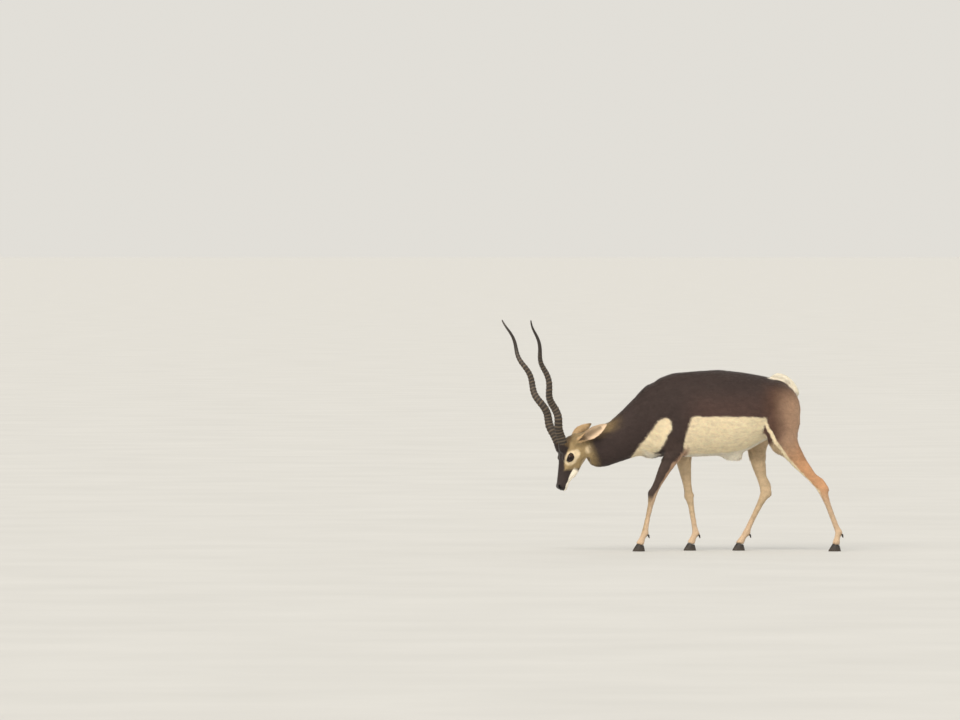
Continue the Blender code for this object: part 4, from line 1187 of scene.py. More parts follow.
def lie_of_coat(points: np.ndarray) -> np.ndarray:
    """The way the hair lies: up the face, back along neck and trunk, down the legs, out along the tail.

    Args:
        points: Places in the scene.

    Returns:
        Directions, not yet laid along the skin.
    """
    p = laid_out(points)
    x, _, z = p.T
    h = in_head_frame(points)
    way = np.tile((1.0, 0.0, -0.30), (len(p), 1))
    stretches = (
        (ramp(x, -0.10, -0.20), (0.92, 0.0, 0.16)),
        (ramp(x, 0.32, 0.46) * ramp(z, 0.80, 0.70), (0.55, 0.0, -0.84)),
        (ramp(x, -0.14, -0.06) * ramp(x, 0.14, 0.06) * ramp(z, 0.66, 0.50), (0.50, 0.0, -0.86)),
        (ramp(z, 0.46, 0.38) * (x > -0.22), (0.06, 0.0, -1.0)),
    )
    for share, run in stretches:
        way = way * (1 - share[:, None]) + np.array(run) * share[:, None]
    apart, share = near_tail(p)
    tail = ramp(apart, 0.021, 0.018)[:, None]
    runs = np.diff(TAIL_PATH, axis=0)
    runs = runs[np.minimum((share * len(runs)).astype(int), len(runs) - 1)]
    way = way * (1 - tail) + runs / np.linalg.norm(runs, axis=1)[:, None] * tail
    axes = np.array(HEAD)[:3, :3]
    up_face = np.outer(np.ones(len(p)), axes[:, 0]) - 0.45 * np.outer(ramp(h[:, 2], 0.01, -0.03), axes[:, 2])
    up_face += 0.15 * np.outer(np.sign(h[:, 1]), axes[:, 1])
    face = (ramp(past_head(p), 0.03, -0.03) * (h[:, 0] < 0.10))[:, None]
    return way * (1 - face) + up_face * face


@dataclass(frozen=True)
class Pelt:
    """One stretch of the coat: how many tufts it has and how long and wide they are."""

    name: str
    slot: str
    tufts: int
    length_mm: float
    width_mm: float
    rise: float
    seed: int


@dataclass
class Coat:
    """Short hair as thin flat tufts that overlap along the lie of the coat.

    Each tuft stands for a lock of hairs, because a single hair is too fine to show.
    """

    bend: float = 0.62
    spread: float = 0.22
    # Tufts are darker at the root, as painted shade under the hair that lies over them, and a little paler at
    # the tip
    darken_root: float = 0.72
    lighten_tip: float = 1.14
    patch: float = 0.003
    eye_opening: tuple[float, float] = (0.0178, 0.0134)
    nostril_bare: float = 0.0085
    horn_bare: float = 0.0195
    root_sink: float = 0.0005
    pelts: tuple[Pelt, ...] = (
        Pelt("coat_head", "coat", 56000, 5.5, 0.75, 0.20, 11),
        Pelt("coat_neck", "coat", 42000, 11.0, 1.10, 0.19, 12),
        Pelt("coat_shoulder_left", "coat", 40000, 13.5, 1.15, 0.22, 13),
        Pelt("coat_shoulder_right", "coat", 40000, 13.5, 1.15, 0.22, 14),
        Pelt("coat_haunch_left", "coat", 44000, 13.5, 1.15, 0.22, 15),
        Pelt("coat_haunch_right", "coat", 44000, 13.5, 1.15, 0.22, 16),
        Pelt("coat_forelegs", "leg_coat", 46000, 6.0, 0.80, 0.18, 17),
        Pelt("coat_hindlegs", "leg_coat", 46000, 6.5, 0.80, 0.18, 18),
        Pelt("coat_tail", "tail", 16000, 15.0, 1.00, 0.20, 19),
    )
    markings: Markings = field(default_factory=Markings)

    def region(self, name: str, points: np.ndarray) -> np.ndarray:
        """Which places belong to a stretch of the coat.

        Args:
            name: The stretch's name.
            points: Places in the scene.

        Returns:
            A truth value for each place.
        """
        p = laid_out(points)
        x, y, z = p.T
        head = (past_head(p) < 0) & (in_head_frame(points)[:, 0] < 0.09)
        neck = ~head & (x < -0.16)
        apart, share = near_tail(p)
        tail = (apart < 0.0195) & (share > 0.12)
        leg = ~head & ~neck & (z < 0.405)
        fore = x < 0.22
        trunk = ~head & ~neck & ~tail & ~leg
        return {
            "coat_head": head,
            "coat_neck": neck,
            "coat_tail": tail,
            "coat_forelegs": leg & fore,
            "coat_hindlegs": leg & ~fore,
            "coat_shoulder_left": trunk & (x < 0.20) & (y < 0),
            "coat_shoulder_right": trunk & (x < 0.20) & (y >= 0),
            "coat_haunch_left": trunk & (x >= 0.20) & (y < 0),
            "coat_haunch_right": trunk & (x >= 0.20) & (y >= 0),
        }[name]

    def size_at(self, points: np.ndarray) -> np.ndarray:
        """Shortens the hair towards muzzle, eyes and feet, and lengthens it on crown, coronets and belly.

        Args:
            points: Places in the scene.

        Returns:
            Factors on the length of the hair.
        """
        x, _, z = laid_out(points).T
        h = in_head_frame(points)
        size = 1.0 - 0.45 * ramp(z, 0.20, 0.05) * (x > -0.22)
        size *= 1.0 + 0.30 * ramp(z, 0.045, 0.036) * (x > -0.22)
        on_head = (h[:, 0] < 0.06) & (np.abs(h[:, 1]) < 0.09)
        size *= np.where(on_head, 1.0 - 0.55 * ramp(h[:, 0], -0.10, -0.20), 1.0)
        size *= np.where(on_head, 1.0 + 0.55 * ramp(h[:, 0], -0.07, -0.01) * ramp(h[:, 2], 0.0, 0.03), 1.0)
        size *= 1.0 - 0.50 * ramp(from_eyes(h), 0.034, 0.022)
        belly = ramp(z, 0.47, 0.42) * ramp(x, -0.16, -0.12) * ramp(x, 0.40, 0.36) * (z > 0.405)
        return size * (1.0 + 0.15 * belly)

    def bare(self, points: np.ndarray) -> np.ndarray:
        """Finds what carries no hair: inside lids and nostrils, on the lips, and under horns and hooves.

        Args:
            points: Places in the scene.

        Returns:
            A truth value for each place.
        """
        h = in_head_frame(points)
        p = laid_out(points)
        none = np.zeros(len(points), bool)
        for side in SIDES:
            offset, _, reach = from_eye_slit(h, side, self.eye_opening)
            none |= (reach < 1.06) & (offset[:, 1] * side.value > 0)
            none |= np.linalg.norm(h - np.array(side.of(NOSTRIL_PLACE)), axis=1) < self.nostril_bare
            from_horn = h - np.array(side.of(HORN_PLACE))
            axis = np.array(horn_axis(side))
            up = from_horn @ axis
            aside = np.linalg.norm(from_horn - np.outer(up, axis), axis=1)
            none |= (up > 0.010) & (aside < self.horn_bare)
        none |= (h[:, 0] < -0.2255) & (h[:, 2] > -0.028)
        none |= (p[:, 2] < 0.030) & (p[:, 0] > -0.22)
        return none

    def build(self, skin: bpy.types.Object) -> None:
        """Covers the skin with all stretches of the coat.

        Args:
            skin: The finished skin.
        """
        finish = CoatFinish("short_hair_tufts", bump=0.0, sheen=0.22).material()
        roots = self.roots_on(skin)
        for pelt in self.pelts:
            self.grow(pelt, roots, self.region(pelt.name, roots["middle"]), finish)

    def roots_on(self, skin: bpy.types.Object) -> dict:
        """Reads the triangles that tufts may grow on.

        Args:
            skin: Any finished surface with the coat's map.

        Returns:
            Places, normals, map places, areas, middles and corner numbers of its triangles.
        """
        mesh = skin.data
        mesh.calc_loop_triangles()
        count = len(mesh.loop_triangles)
        corners = np.empty(count * 3, np.int32)
        mesh.loop_triangles.foreach_get("vertices", corners)
        loops = np.empty(count * 3, np.int32)
        mesh.loop_triangles.foreach_get("loops", loops)
        flat = np.empty(len(mesh.loops) * 2)
        mesh.uv_layers["OFBake"].data.foreach_get("uv", flat)
        p = places(mesh)[corners.reshape(-1, 3)]
        n = directions(mesh)[corners.reshape(-1, 3)]
        area = np.linalg.norm(np.cross(p[:, 1] - p[:, 0], p[:, 2] - p[:, 0]), axis=1) / 2
        uv = flat.reshape(-1, 2)[loops.reshape(-1, 3)]
        found = {"points": p, "normals": n, "uv": uv, "area": area, "middle": p.mean(axis=1)}
        return found | {"corners": corners.reshape(-1, 3)}

    def spots(self, roots: dict, picked: np.ndarray, share: np.ndarray) -> tuple:
        """Places, directions and map places inside the picked triangles.

        Args:
            roots: The triangles, as roots_on gives them.
            picked: Which triangle each spot lies in.
            share: How near each spot lies to each corner.

        Returns:
            The places, the directions and the places on the map.
        """
        p, n, uv = ((roots[key][picked] * share).sum(axis=1) for key in ("points", "normals", "uv"))
        return p, n / np.maximum(np.linalg.norm(n, axis=1), 1e-9)[:, None], uv

    def grow(self, pelt: Pelt, roots: dict, inside: np.ndarray, finish: bpy.types.Material) -> None:
        """Grows one stretch of the coat.

        Args:
            pelt: The stretch.
            roots: The triangles to grow on, as roots_on gives them.
            inside: Which of the triangles belong to it.
            finish: The material of its hair.
        """
        rng = np.random.default_rng(pelt.seed)
        chosen = np.flatnonzero(inside)
        size = self.size_at(roots["middle"][chosen])
        weight = roots["area"][chosen] / size**1.3
        picked = chosen[rng.choice(len(chosen), pelt.tufts, p=weight / weight.sum())]
        share = rng.random((pelt.tufts, 2))
        over = share.sum(axis=1) > 1
        share[over] = 1 - share[over]
        share = np.column_stack([1 - share.sum(axis=1), share])[:, :, None]
        p, n, uv = self.spots(roots, picked, share)
        kept = ~self.bare(p)
        p, n, uv = p[kept], n[kept], uv[kept]
        size = self.size_at(p)
        way = lie_of_coat(p) + rng.normal(0.0, self.spread, p.shape)
        colour = self.markings.colours(p, n)
        self.lay(pelt, p, n, uv, way, size, colour, finish, rng)

    def lay(
        self,
        pelt: Pelt,
        p: np.ndarray,
        n: np.ndarray,
        uv: np.ndarray,
        way: np.ndarray,
        size: np.ndarray,
        colour: np.ndarray,
        finish: bpy.types.Material,
        rng: np.random.Generator,
    ) -> None:
        """Makes tufts of three triangles each at given roots.

        Args:
            pelt: Names the piece and gives its sizes.
            p: The roots.
            n: The surface's directions there.
            uv: The roots' places on the coat's map.
            way: The way each tuft runs.
            size: Factors on the length.
            colour: Linear colours.
            finish: The material.
            rng: The seeded source of small differences.
        """
        count = len(p)
        run = way - n * (way * n).sum(axis=1)[:, None]
        run /= np.maximum(np.linalg.norm(run, axis=1), 1e-6)[:, None]
        across = np.cross(n, run)
        length = pelt.length_mm / 1000 * size * rng.uniform(0.70, 1.25, count)
        half = pelt.width_mm / 2000 * np.sqrt(size) * rng.uniform(0.75, 1.2, count)
        rise = pelt.rise * length * rng.uniform(0.55, 1.15, count)
        roll = across * half[:, None] + n * (half * rng.normal(0.0, 0.25, count))[:, None]
        base = p - n * self.root_sink
        middle = base + run * (length * self.bend)[:, None] + n * (rise * 0.85)[:, None]
        tip = base + run * length[:, None] + n * rise[:, None]
        points = np.stack([base - roll, base + roll, middle - roll * 0.75, middle + roll * 0.75, tip], axis=1)
        mesh = bpy.data.meshes.new(pelt.name)
        mesh.vertices.add(count * 5)
        mesh.vertices.foreach_set("co", points.astype(np.float32).ravel())
        pattern = np.array((0, 3, 1, 0, 2, 3, 2, 4, 3))
        corners = (np.arange(count)[:, None] * 5 + pattern).astype(np.int32)
        mesh.loops.add(count * 9)
        mesh.loops.foreach_set("vertex_index", corners.ravel())
        mesh.polygons.add(count * 3)
        mesh.polygons.foreach_set("loop_start", np.arange(0, count * 9, 3, dtype=np.int32))
        mesh.update(calc_edges=True)
        spots = np.array(((0, 0), (1, 0), (0.1, 0.6), (0.9, 0.6), (0.5, 1))) * self.patch
        on_map = np.clip(uv[:, None, :] + spots - self.patch / 2, 0.0, 1.0)
        layer = mesh.uv_layers.new(name="OFBake")
        layer.data.foreach_set("uv", on_map.reshape(-1, 2)[corners.ravel()].astype(np.float32).ravel())
        tone = rng.normal(1.0, 0.08, (count, 1, 1)) * (1.0 + 0.015 * rng.normal(0, 1, (count, 1, 3)))
        # Each tuft: painted shade at its root, a paler tip
        along = np.array((self.darken_root, self.darken_root, 1.0, 1.0, self.lighten_tip))[None, :, None]
        shades = np.clip(colour[:, None, :] * tone * along, 0.0, 1.0)
        paint(mesh, "coat", shades.reshape(-1, 3))
        lean = n + run * 0.10 + rng.normal(0.0, 0.16, n.shape)
        lean /= np.linalg.norm(lean, axis=1)[:, None]
        mesh.shade_smooth()
        mesh.normals_split_custom_set_from_vertices(np.repeat(lean, 5, axis=0))
        mesh.materials.append(finish)
        obj = bpy.data.objects.new(pelt.name, mesh)
        bpy.context.scene.collection.objects.link(obj)
        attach(obj, ROOT)
        LOG.info("%s: %d tufts", pelt.name, count)


def horn_axis(side: Side) -> Vector:
    """The way a horn's axis leans.

    Args:
        side: Which horn.

    Returns:
        A direction in the head's frame.
    """
    level, across = math.cos(HORN_SPLAY), math.sin(HORN_SPLAY) * side.value
    return Vector((math.cos(HORN_RISE) * level, across, math.sin(HORN_RISE) * level))


@dataclass
class Horns:
    """A pair of open corkscrews with raised rings that fade towards a smooth tip."""

    height: float = 0.597
    turns: float = 3.35
    coil_radius: float = 0.0092
    base_radius: float = 0.0182
    tip_radius: float = 0.0022
    # Where the screw starts, in degrees from straight outwards
    start: float = 172.0
    root_reach: float = 0.018
    gap: float = 0.0004
    ring_count: int = 34
    ring_height: float = 0.0018
    smooth_tip: float = 0.16
    foot: float = 0.012
    sides: int = 32
    steps_per_ring: int = 7
    tip_steps: int = 24

    def centre(self, side: Side, reach: float) -> Vector:
        """Finds the middle of a horn's coil.

        Args:
            side: Which horn.
            reach: Share of the way up.

        Returns:
            A place in the head's frame.
        """
        axis = horn_axis(side)
        outward = (Vector((0.0, side.value, 0.0)) - axis * (axis.y * side.value)).normalized()
        forward = axis.cross(outward) * -side.value
        turn = math.tau * self.turns * reach + math.radians(self.start)
        coil = self.coil_radius * float(ramp(np.array(reach), 0.0, 0.22)) * (1.0 - 0.35 * reach)
        root = side.of(HORN_PLACE) + axis * (self.root_reach + self.gap)
        swing = outward * math.cos(turn) + forward * math.sin(turn)
        return root + axis * (self.height * reach) + swing * coil

    def relief(self, reach: float, turn: float) -> float:
        """How proud of the groove the horn stands at a place: 0 to 1.

        Args:
            reach: Share of the way up.
            turn: Angle round the horn.

        Returns:
            The height of the ring there.
        """
        ringed = 1.0 - self.smooth_tip
        place = reach / ringed * self.ring_count + 0.22 * math.cos(turn)
        place += 0.10 * math.sin(2 * turn + 9 * reach)
        phase = place % 1.0
        shape = (0.5 - 0.5 * math.cos(math.tau * phase**1.35)) ** 1.5
        uneven = 0.80 + 0.20 * math.sin(int(place) * 2.7)
        fade = 1.0 - float(ramp(np.array(reach / ringed), 0.72, 1.0))
        return shape * uneven * fade

    def ring_at(self, side: Side, reach: float) -> tuple[list[Vector], list[tuple[float, float, float]]]:
        """One ring of the horn's surface.

        Args:
            side: Which horn.
            reach: Share of the way up, negative for the foot that is sunk into the root.

        Returns:
            The ring's places in the scene and its painted relief.
        """
        held = max(reach, 0.0)
        girth = self.tip_radius + (self.base_radius - self.tip_radius) * (1.0 - held) ** 0.72
        axis = horn_axis(side)
        ahead = self.centre(side, min(held + 0.004, 1.0)) - self.centre(side, max(held - 0.004, 0.0))
        share = min(1.0, held * 14)
        direction = (axis * (1.0 - share) + ahead.normalized() * share).normalized()
        middle = self.centre(side, held) + axis * (self.height * min(reach, 0.0))
        across = Vector((0.0, 1.0, 0.0))
        across = (across - direction * across.dot(direction)).normalized()
        up = direction.cross(across)
        ring, tones = [], []
        for k in range(self.sides):
            turn = math.tau * k / self.sides
            proud = self.relief(held, turn)
            wide = girth + self.ring_height * proud * min(1.0, girth / 0.012)
            if reach > 0.999:
                wide *= 0.30
            ring.append(HEAD @ (middle + across * wide * math.cos(turn) + up * wide * 1.06 * math.sin(turn)))
            tones.append((proud, float(held**1.5), 0.0))
        return ring, tones

    def build(self) -> None:
        """Builds and dresses both horns."""
        finish = HornFinish().material()
        ringed = 1.0 - self.smooth_tip
        lower = self.ring_count * self.steps_per_ring
        reaches = [-self.foot, *(ringed * k / lower for k in range(lower))]
        reaches += [ringed + self.smooth_tip * k / self.tip_steps for k in range(self.tip_steps + 1)]
        for side in SIDES:
            made = [self.ring_at(side, reach) for reach in reaches]
            bm = bmesh.new()
            loft(bm, [ring for ring, _ in made])
            bmesh.ops.recalc_face_normals(bm, faces=bm.faces)
            obj = new_object(f"horn_{side.word}_ringed", bm)
            dress(obj, finish, np.array([tone for _, tones in made for tone in tones]))
            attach(obj, ROOT)
            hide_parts(f"horn_{side.word}")
            LOG.info("%s: %d faces", obj.name, len(obj.data.polygons))


@dataclass
class Ears:
    """Leaf-shaped cups: furred behind, paler and thinly haired inside."""

    length: float = 0.132
    wall: float = 0.0020
    direction: Vector = field(default_factory=lambda: Vector((0.735, 0.560, -0.400)))
    opening: Vector = field(default_factory=lambda: Vector((-0.350, 0.800, 0.300)))
    root_reach: float = 0.013
    sides: int = 29
    steps: int = 34
    tufts: int = 7000
    # Share of the length, half width, and how far the wall wraps to each side, in degrees
    rings: tuple = (
        (0.00, 0.0143, 166),
        (0.08, 0.0150, 154),
        (0.18, 0.0172, 134),
        (0.30, 0.0205, 112),
        (0.44, 0.0240, 98),
        (0.58, 0.0245, 88),
        (0.72, 0.0210, 78),
        (0.84, 0.0150, 70),
        (0.93, 0.0090, 62),
        (1.00, 0.0030, 55),
    )

    def frame_of(self, side: Side) -> tuple[Vector, Vector, Vector, Vector]:
        """Sets up an ear's own axes.

        Args:
            side: Which ear.

        Returns:
            Root, direction, opening and width axis, in the head's frame.
        """
        direction = side.of(self.direction).normalized()
        opening = side.of(self.opening)
        opening = (opening - direction * opening.dot(direction)).normalized()
        across = direction.cross(opening).normalized()
        return side.of(EAR_PLACE) + direction * self.root_reach, direction, opening, across

    def build(self, coat: Coat) -> None:
        """Builds both ears and their hair.

        Args:
            coat: Lays the tufts.
        """
        finish = CoatFinish("ear_skin_and_down", bump=0.4, sheen=0.25).material()
        hair = CoatFinish("ear_hair_tufts", bump=0.0, sheen=0.25).material()
        table = np.array(self.rings)
        for side in SIDES:
            root, direction, opening, across = self.frame_of(side)
            rings, tones = [], []
            for k in range(-3, self.steps + 1):
                share = k / self.steps
                held = max(share, 0.0)
                width = float(np.interp(held, table[:, 0], table[:, 1]))
                spread = math.radians(float(np.interp(held, table[:, 0], table[:, 2])))
                radius = width / math.sin(min(spread, math.pi / 2))
                floor = radius * 0.86 * (1.0 - float(ramp(np.array(held), 0.02, 0.17)))
                wall = max(self.wall * (1.5 - held * 0.9), floor)
                lift = radius - 0.0146 - 0.016 * held**2
                middle = root + direction * (self.length * share) + opening * lift
                angles = [spread * (2 * n / (self.sides - 1) - 1) for n in range(self.sides)]
                outer = [(a, radius + 0.0005 * math.sin(7 * a + 11 * held)) for a in angles]
                inner = [(a, w - wall * (1.0 - 0.55 * abs(a / spread) ** 3)) for a, w in reversed(outer)]
                line = outer + inner
                ring = [middle - opening * w * math.cos(a) + across * w * math.sin(a) for a, w in line]
                rings.append([HEAD @ point for point in ring])
                tones += self.tones(held, angles)
            bm = bmesh.new()
            loft(bm, rings)
            bmesh.ops.recalc_face_normals(bm, faces=bm.faces)
            obj = new_object(f"ear_{side.word}_cup", bm)
            dress(obj, finish, np.array(tones))
            unwrap(obj)
            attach(obj, ROOT)
            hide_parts(f"ear_{side.word}")
            self.hair(obj, side, coat, hair, np.array(tones))
            LOG.info("%s: %d faces", obj.name, len(obj.data.polygons))

    def tones(self, held: float, angles: list[float]) -> list[np.ndarray]:
        """Colours of one ring: the back of the ear first, then its hollow, with painted shade deep in the
        hollow.

        Args:
            held: Share of the ear's length.
            angles: Places round the wall.

        Returns:
            Linear colours in the ring's order.
        """
        c = Palette()
        back = np.array(linear(c.ear_back))
        cup = np.array(linear(c.ear_cup))
        dark = np.array(linear(c.crown))
        edge = np.abs(np.array(angles)) / max(abs(angles[0]), 1e-6)
        tip = float(ramp(np.array(held), 0.80, 1.0)) * 0.8
        outside = [back * (1 - tip) + dark * tip for _ in angles]
        # Painted shade: the hollow darkens towards the ear's root and along the middle of its cup
        deep = float(ramp(np.array(held), 0.35, 0.10)) * 0.8
        inside = []
        for share in edge[::-1]:
            shade = max(deep, 0.55 * (1 - float(ramp(np.array(share), 0.0, 0.65))) * (held < 0.8))
            inside.append(cup * (1 - shade) + dark * shade)
        return outside + inside

    def hair(
        self,
        obj: bpy.types.Object,
        side: Side,
        coat: Coat,
        finish: bpy.types.Material,
        tones: np.ndarray,
    ) -> None:
        """Lays short hair on the ear's back and thinner hair in its hollow.

        Args:
            obj: The ear.
            side: Which ear.
            coat: Lays the tufts.
            finish: The hair's material.
            tones: Colours of the ear's points.
        """
        rng = np.random.default_rng(31 + side.value)
        roots = coat.roots_on(obj)
        root, direction, opening, _ = self.frame_of(side)
        axes = [np.array(HEAD.to_3x3() @ axis) for axis in (direction, opening)]
        start = np.array(HEAD @ root)
        reach = (roots["middle"] - start) @ axes[0] / self.length
        facing = (roots["normals"].mean(axis=1) @ axes[1]) < 0.1
        inside = (reach > 0.0) & (facing | (np.arange(len(reach)) % 2 == 0))
        chosen = np.flatnonzero(inside)
        weight = roots["area"][chosen]
        picked = chosen[rng.choice(len(chosen), self.tufts, p=weight / weight.sum())]
        share = rng.dirichlet((1.0, 1.0, 1.0), self.tufts)[:, :, None]
        p, n, uv = coat.spots(roots, picked, share)
        colour = (tones[roots["corners"][picked]] * share).sum(axis=1)
        way = np.tile(axes[0], (self.tufts, 1)) + rng.normal(0.0, coat.spread, (self.tufts, 3))
        size = 1.0 - 0.45 * ramp((p - start) @ axes[0] / self.length, 0.5, 1.0)
        pelt = Pelt(f"ear_{side.word}_hair", "ear", self.tufts, 6.5, 0.8, 0.14, 0)
        coat.lay(pelt, p, n, uv, way, size, colour, finish, rng)


@dataclass(frozen=True)
class EyeTones:
    """Colours of the eyeball and the lashes, as sRGB."""

    pupil: str = "#050506"
    iris: str = "#2c1a10"
    rim: str = "#140c09"
    white: str = "#4a372d"
    back: str = "#2a1a14"
    lash: str = "#17100c"


@dataclass
class Eyes:
    """Large dark eyes that look out to the sides, with a level oval pupil."""

    radius: float = EYE_RADIUS
    cornea: float = 0.0009
    cornea_reach: float = 0.0125
    pupil_half: tuple[float, float] = (0.0068, 0.0036)
    pupil_power: float = 2.6
    iris: float = 0.0112
    lash_count: int = 46
    lash_length: float = 0.0056
    lash_girth: float = 0.00022
    lash_sides: int = 5
    lash_line: tuple[float, float] = (0.0171, 0.0127)

    def build(self) -> None:
        """Builds and dresses both eyes and their lashes."""
        finish = EyeFinish().material()
        for side in SIDES:
            bm = bmesh.new()
            bmesh.ops.create_uvsphere(bm, u_segments=64, v_segments=48, radius=self.radius)
            gaze = Vector((-0.16, side.value, 0.02)).normalized()
            turn = gaze.to_track_quat("Z", "Y").to_matrix().to_4x4()
            tones = []
            level = Matrix.Rotation(HEAD_PITCH, 3, "Y").inverted() @ Vector((1.0, 0.0, 0.0))
            for vert in bm.verts:
                reach = math.hypot(vert.co.x, vert.co.y)
                if vert.co.z > 0:
                    vert.co.z += self.cornea * max(0.0, 1.0 - (reach / self.cornea_reach) ** 2)
                vert.co = turn @ vert.co
                tones.append(self.tone(vert.co, gaze, level))
                vert.co = HEAD @ (side.of(EYE_PLACE) + vert.co)
            close_up(bm)
            obj = new_object(f"eye_{side.word}_wet", bm)
            dress(obj, finish, np.array(tones))
            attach(obj, ROOT)
            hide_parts(f"eye_{side.word}")
            LOG.info("%s: %d faces", obj.name, len(obj.data.polygons))
            self.lashes(side, finish)

    def lashes(self, side: Side, finish: bpy.types.Material) -> None:
        """Sets a row of short stiff lashes along the upper lid, fanned out and curled up.

        Args:
            side: Which eye.
            finish: Their material.
        """
        bm = bmesh.new()
        slant = Matrix.Rotation(-EYE_SLANT, 3, "Y")
        turns = [math.tau * k / self.lash_sides for k in range(self.lash_sides)]
        circle = [Vector((math.cos(turn), 0.0, math.sin(turn))) for turn in turns]
        for k in range(self.lash_count):
            turn = math.radians(24.0 + 132.0 * k / (self.lash_count - 1))
            x, z = math.cos(turn), math.sin(turn)
            swell = (abs(x) ** ALMOND_POWER + abs(z) ** ALMOND_POWER) ** (-1 / ALMOND_POWER)
            edge = slant @ Vector((self.lash_line[0] * x * swell, 0.0, self.lash_line[1] * z * swell))
            edge.y = side.value * math.sqrt((self.radius + 0.0012) ** 2 - edge.x**2 - edge.z**2)
            out = edge.normalized()
            length = self.lash_length * (0.70 + 0.30 * z) * (1.0 + 0.12 * math.sin(7.1 * k))
            fan = Vector((0.30 * x, 0.0, 0.0))
            rings = []
            for share in (0.0, 0.33, 0.66, 1.0):
                lift = Vector((0.0, 0.0, 0.15 * share + 0.55 * share * share))
                middle = side.of(EYE_PLACE) + edge + (out * share * 0.85 + fan * share + lift) * length
                girth = self.lash_girth * (1.0 - 0.8 * share)
                rings.append([HEAD @ (middle + way * girth) for way in circle])
            loft(bm, rings)
        close_up(bm)
        obj = new_object(f"lashes_{side.word}", bm)
        dress(obj, finish, np.tile(np.array(linear(EyeTones().lash)), (len(obj.data.vertices), 1)))
        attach(obj, ROOT)
        LOG.info("%s: %d lashes", obj.name, self.lash_count)

    def tone(self, place: Vector, gaze: Vector, level: Vector) -> tuple[float, float, float]:
        """The eye's colour at a place on it.

        Args:
            place: From the eye's middle, in the head's frame.
            gaze: The way it looks.
            level: The way its pupil lies.

        Returns:
            A linear colour.
        """
        ahead = place.dot(gaze)
        along = (level - gaze * level.dot(gaze)).normalized()
        above = gaze.cross(along)
        a, b = place.dot(along), place.dot(above)
        c = EyeTones()
        if ahead < 0:
            return linear(c.back)
        power = self.pupil_power
        pupil = (abs(a / self.pupil_half[0]) ** power + abs(b / self.pupil_half[1]) ** power) ** (1 / power)
        out = math.hypot(a, b)
        streak = 0.5 + 0.5 * math.sin(math.atan2(b, a) * 46 + 3 * math.sin(out * 900))
        brown = np.array(linear(c.iris)) * (0.75 + 0.5 * streak)
        inner = float(ramp(np.array(pupil), 0.95, 1.12))
        outer = float(ramp(np.array(out), self.iris - 0.0016, self.iris))
        past = float(ramp(np.array(out), self.iris, self.iris + 0.0012))
        colour = np.array(linear(c.pupil)) * (1 - inner) + brown * inner
        colour = colour * (1 - outer) + np.array(linear(c.rim)) * outer
        return tuple(colour * (1 - past) + np.array(linear(c.white)) * past)


@dataclass
class Hooves:
    """Two pointed claws to a foot, with faint growth rings, and the two small dewclaws behind."""

    ring_depth: float = 0.00022
    ring_pitch: float = 0.0034
    edge_round: float = 0.0008
    longest_edge: float = 0.0022

    def build(self) -> None:
        """Copies every claw and dewclaw, refines it, and gives it growth rings."""
        finish = HoofFinish().material()
        for name in sorted(obj.name for obj in bpy.data.objects if "claw_" in obj.name):
            source = bpy.data.objects[name]
            bm = bmesh.new()
            bm.from_mesh(source.data)
            bmesh.ops.remove_doubles(bm, verts=bm.verts, dist=1e-5)
            bmesh.ops.dissolve_limit(bm, angle_limit=math.radians(1.0), verts=bm.verts, edges=bm.edges)
            sharp = [edge for edge in bm.edges if edge.calc_face_angle(0.0) > math.radians(40)]
            bmesh.ops.bevel(
                bm,
                geom=sharp,
                offset=self.edge_round,
                segments=2,
                profile=0.5,
                affect="EDGES",
                material=-1,
                clamp_overlap=True,
            )
            bmesh.ops.triangulate(bm, faces=bm.faces)
            for _ in range(2):
                long = [edge for edge in bm.edges if edge.calc_length() > self.longest_edge]
                bmesh.ops.subdivide_edges(bm, edges=long, cuts=1)
                bmesh.ops.triangulate(bm, faces=bm.faces)
            bm.normal_update()
            for vert in bm.verts:
                if vert.co.z > 0.0015 and abs(vert.normal.z) < 0.75:
                    wave = math.sin(math.tau * vert.co.z / self.ring_pitch)
                    vert.co += Vector((vert.normal.x, vert.normal.y, 0.0)) * (self.ring_depth * wave)
            obj = new_object(f"{name}_horn", bm)
            obj.data.shade_smooth()
            obj.data.set_sharp_from_angle(angle=math.radians(35))
            obj.data.materials.append(finish)
            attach(obj, ROOT)
            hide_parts(name)
        LOG.info("hooves done")


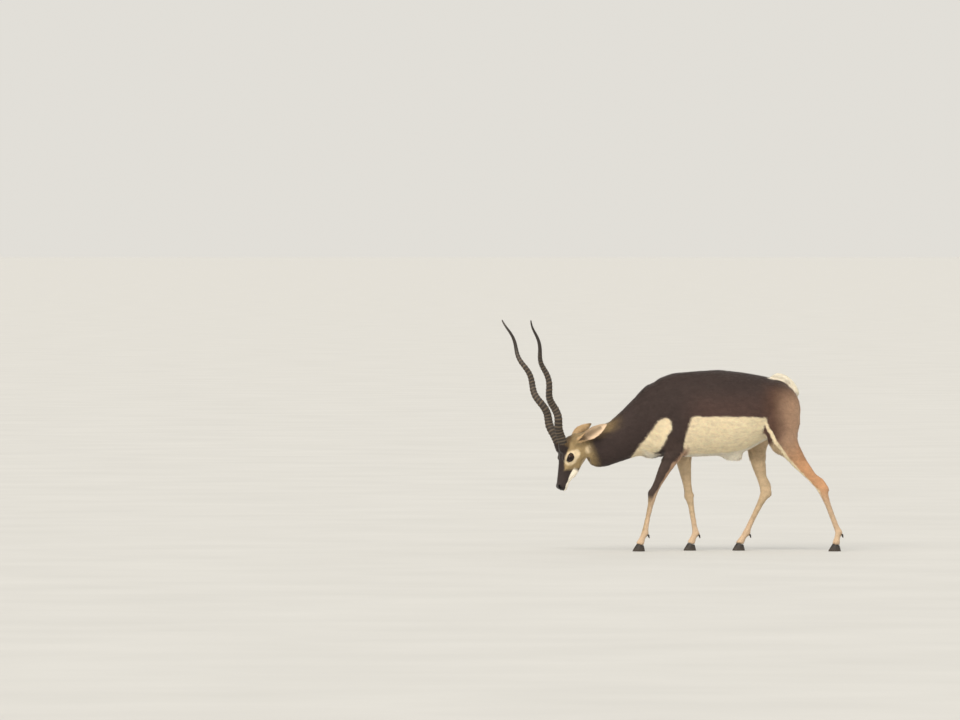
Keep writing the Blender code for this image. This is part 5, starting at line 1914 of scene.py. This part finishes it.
@dataclass
class Studio:
    """A plain pale floor, soft lamps that the camera can't see, and the photograph's viewpoint."""

    distance: float = 50.0
    eye_height: float = 1.3
    aim_x: float = -0.843
    aim_z: float = 0.840
    frame_width: float = 4.224
    floor_colour: str = "#c7c8c6"
    sky_colour: str = "#e9e6df"
    sky_strength: float = 0.93
    floor_size: float = 8000.0
    sensor_width: float = 36.0
    cloud_mm: float = 1000 / 1.2
    # Name, the way the light travels, how wide it looks in degrees, strength and colour
    lamps: tuple = (
        ("key_lamp", (0.40, 0.90, -0.85), 45.0, 2.1, "#fff3e4"),
        ("fill_lamp", (-0.9, 0.6, -0.55), 90.0, 0.40, "#f8f5f2"),
        ("back_lamp", (-0.2, -1.0, -0.8), 70.0, 0.35, "#f6f6ff"),
    )

    def floor(self) -> None:
        """Lays a wide floor with a faint grain."""
        bm = bmesh.new()
        bmesh.ops.create_grid(bm, x_segments=8, y_segments=8, size=self.floor_size)
        bmesh.ops.translate(bm, vec=(0.0, 0.0, -0.0004), verts=bm.verts)
        obj = new_object("studio_floor", bm)
        made, shader = finish_of("pale_matt_floor")
        tree = made.node_tree
        where = add_node(tree, "ShaderNodeTexCoord", {}, {})
        place = {"Vector": where.outputs["Object"]}
        cloud = add_node(tree, "ShaderNodeTexNoise", {"Scale": 1000 / self.cloud_mm, "Detail": 5.0}, place)
        tone = add_node(tree, "ShaderNodeValToRGB", {}, {"Fac": cloud.outputs["Fac"]})
        stops = tone.color_ramp.elements
        base = np.array(linear(self.floor_colour))
        stops[0].position, stops[0].color = 0.3, (*(base * 0.96), 1.0)
        stops[1].position, stops[1].color = 0.7, (*(base * 1.03), 1.0)
        tree.links.new(tone.outputs[0], shader.inputs["Base Color"])
        shader.inputs["Roughness"].default_value = 0.9
        obj.data.materials.append(made)

    def lamp(self, name: str, toward: tuple, softness: float, strength: float, colour: str) -> None:
        """Hangs one wide far lamp, so that floor and animal are lit evenly.

        Args:
            name: The lamp's name.
            toward: The way its light travels.
            softness: How wide it looks from the animal, in degrees.
            strength: Its strength.
            colour: Its sRGB colour.
        """
        light = bpy.data.lights.new(name, "SUN")
        light.angle = math.radians(softness)
        light.energy = strength
        light.color = linear(colour)
        obj = bpy.data.objects.new(name, light)
        obj.rotation_euler = Vector(toward).to_track_quat("-Z", "Y").to_euler()
        bpy.context.scene.collection.objects.link(obj)

    def build(self) -> None:
        """Sets floor, lamps, sky light and camera."""
        self.floor()
        for lamp in self.lamps:
            self.lamp(*lamp)
        world = bpy.data.worlds.new("studio_air")
        world.use_nodes = True
        air = world.node_tree.nodes["Background"].inputs
        air["Color"].default_value = (*linear(self.sky_colour), 1.0)
        air["Strength"].default_value = self.sky_strength
        bpy.context.scene.world = world
        bpy.context.scene.view_settings.view_transform = "Standard"
        camera = bpy.data.cameras.new("camera")
        camera.sensor_fit = "HORIZONTAL"
        camera.sensor_width = self.sensor_width
        camera.lens = self.sensor_width * self.distance / self.frame_width
        camera.clip_end = 20000.0
        obj = bpy.data.objects.new("camera", camera)
        aim = Vector((self.aim_x, 0.0, self.aim_z)) + SHIFT
        obj.location = Vector((self.aim_x, -self.distance, self.eye_height)) + SHIFT
        obj.rotation_euler = (aim - obj.location).to_track_quat("-Z", "Y").to_euler()
        bpy.context.scene.collection.objects.link(obj)
        bpy.context.scene.camera = obj
        LOG.info("studio done")


def main() -> None:
    """Builds the animal piece by piece and reports each."""
    logging.basicConfig(level=logging.INFO, format="%(message)s")
    Studio().build()
    skin = Skin().build()
    coat = Coat()
    coat.build(skin)
    Ears().build(coat)
    Eyes().build()
    Horns().build()
    Hooves().build()


if __name__ == "__main__":
    main()
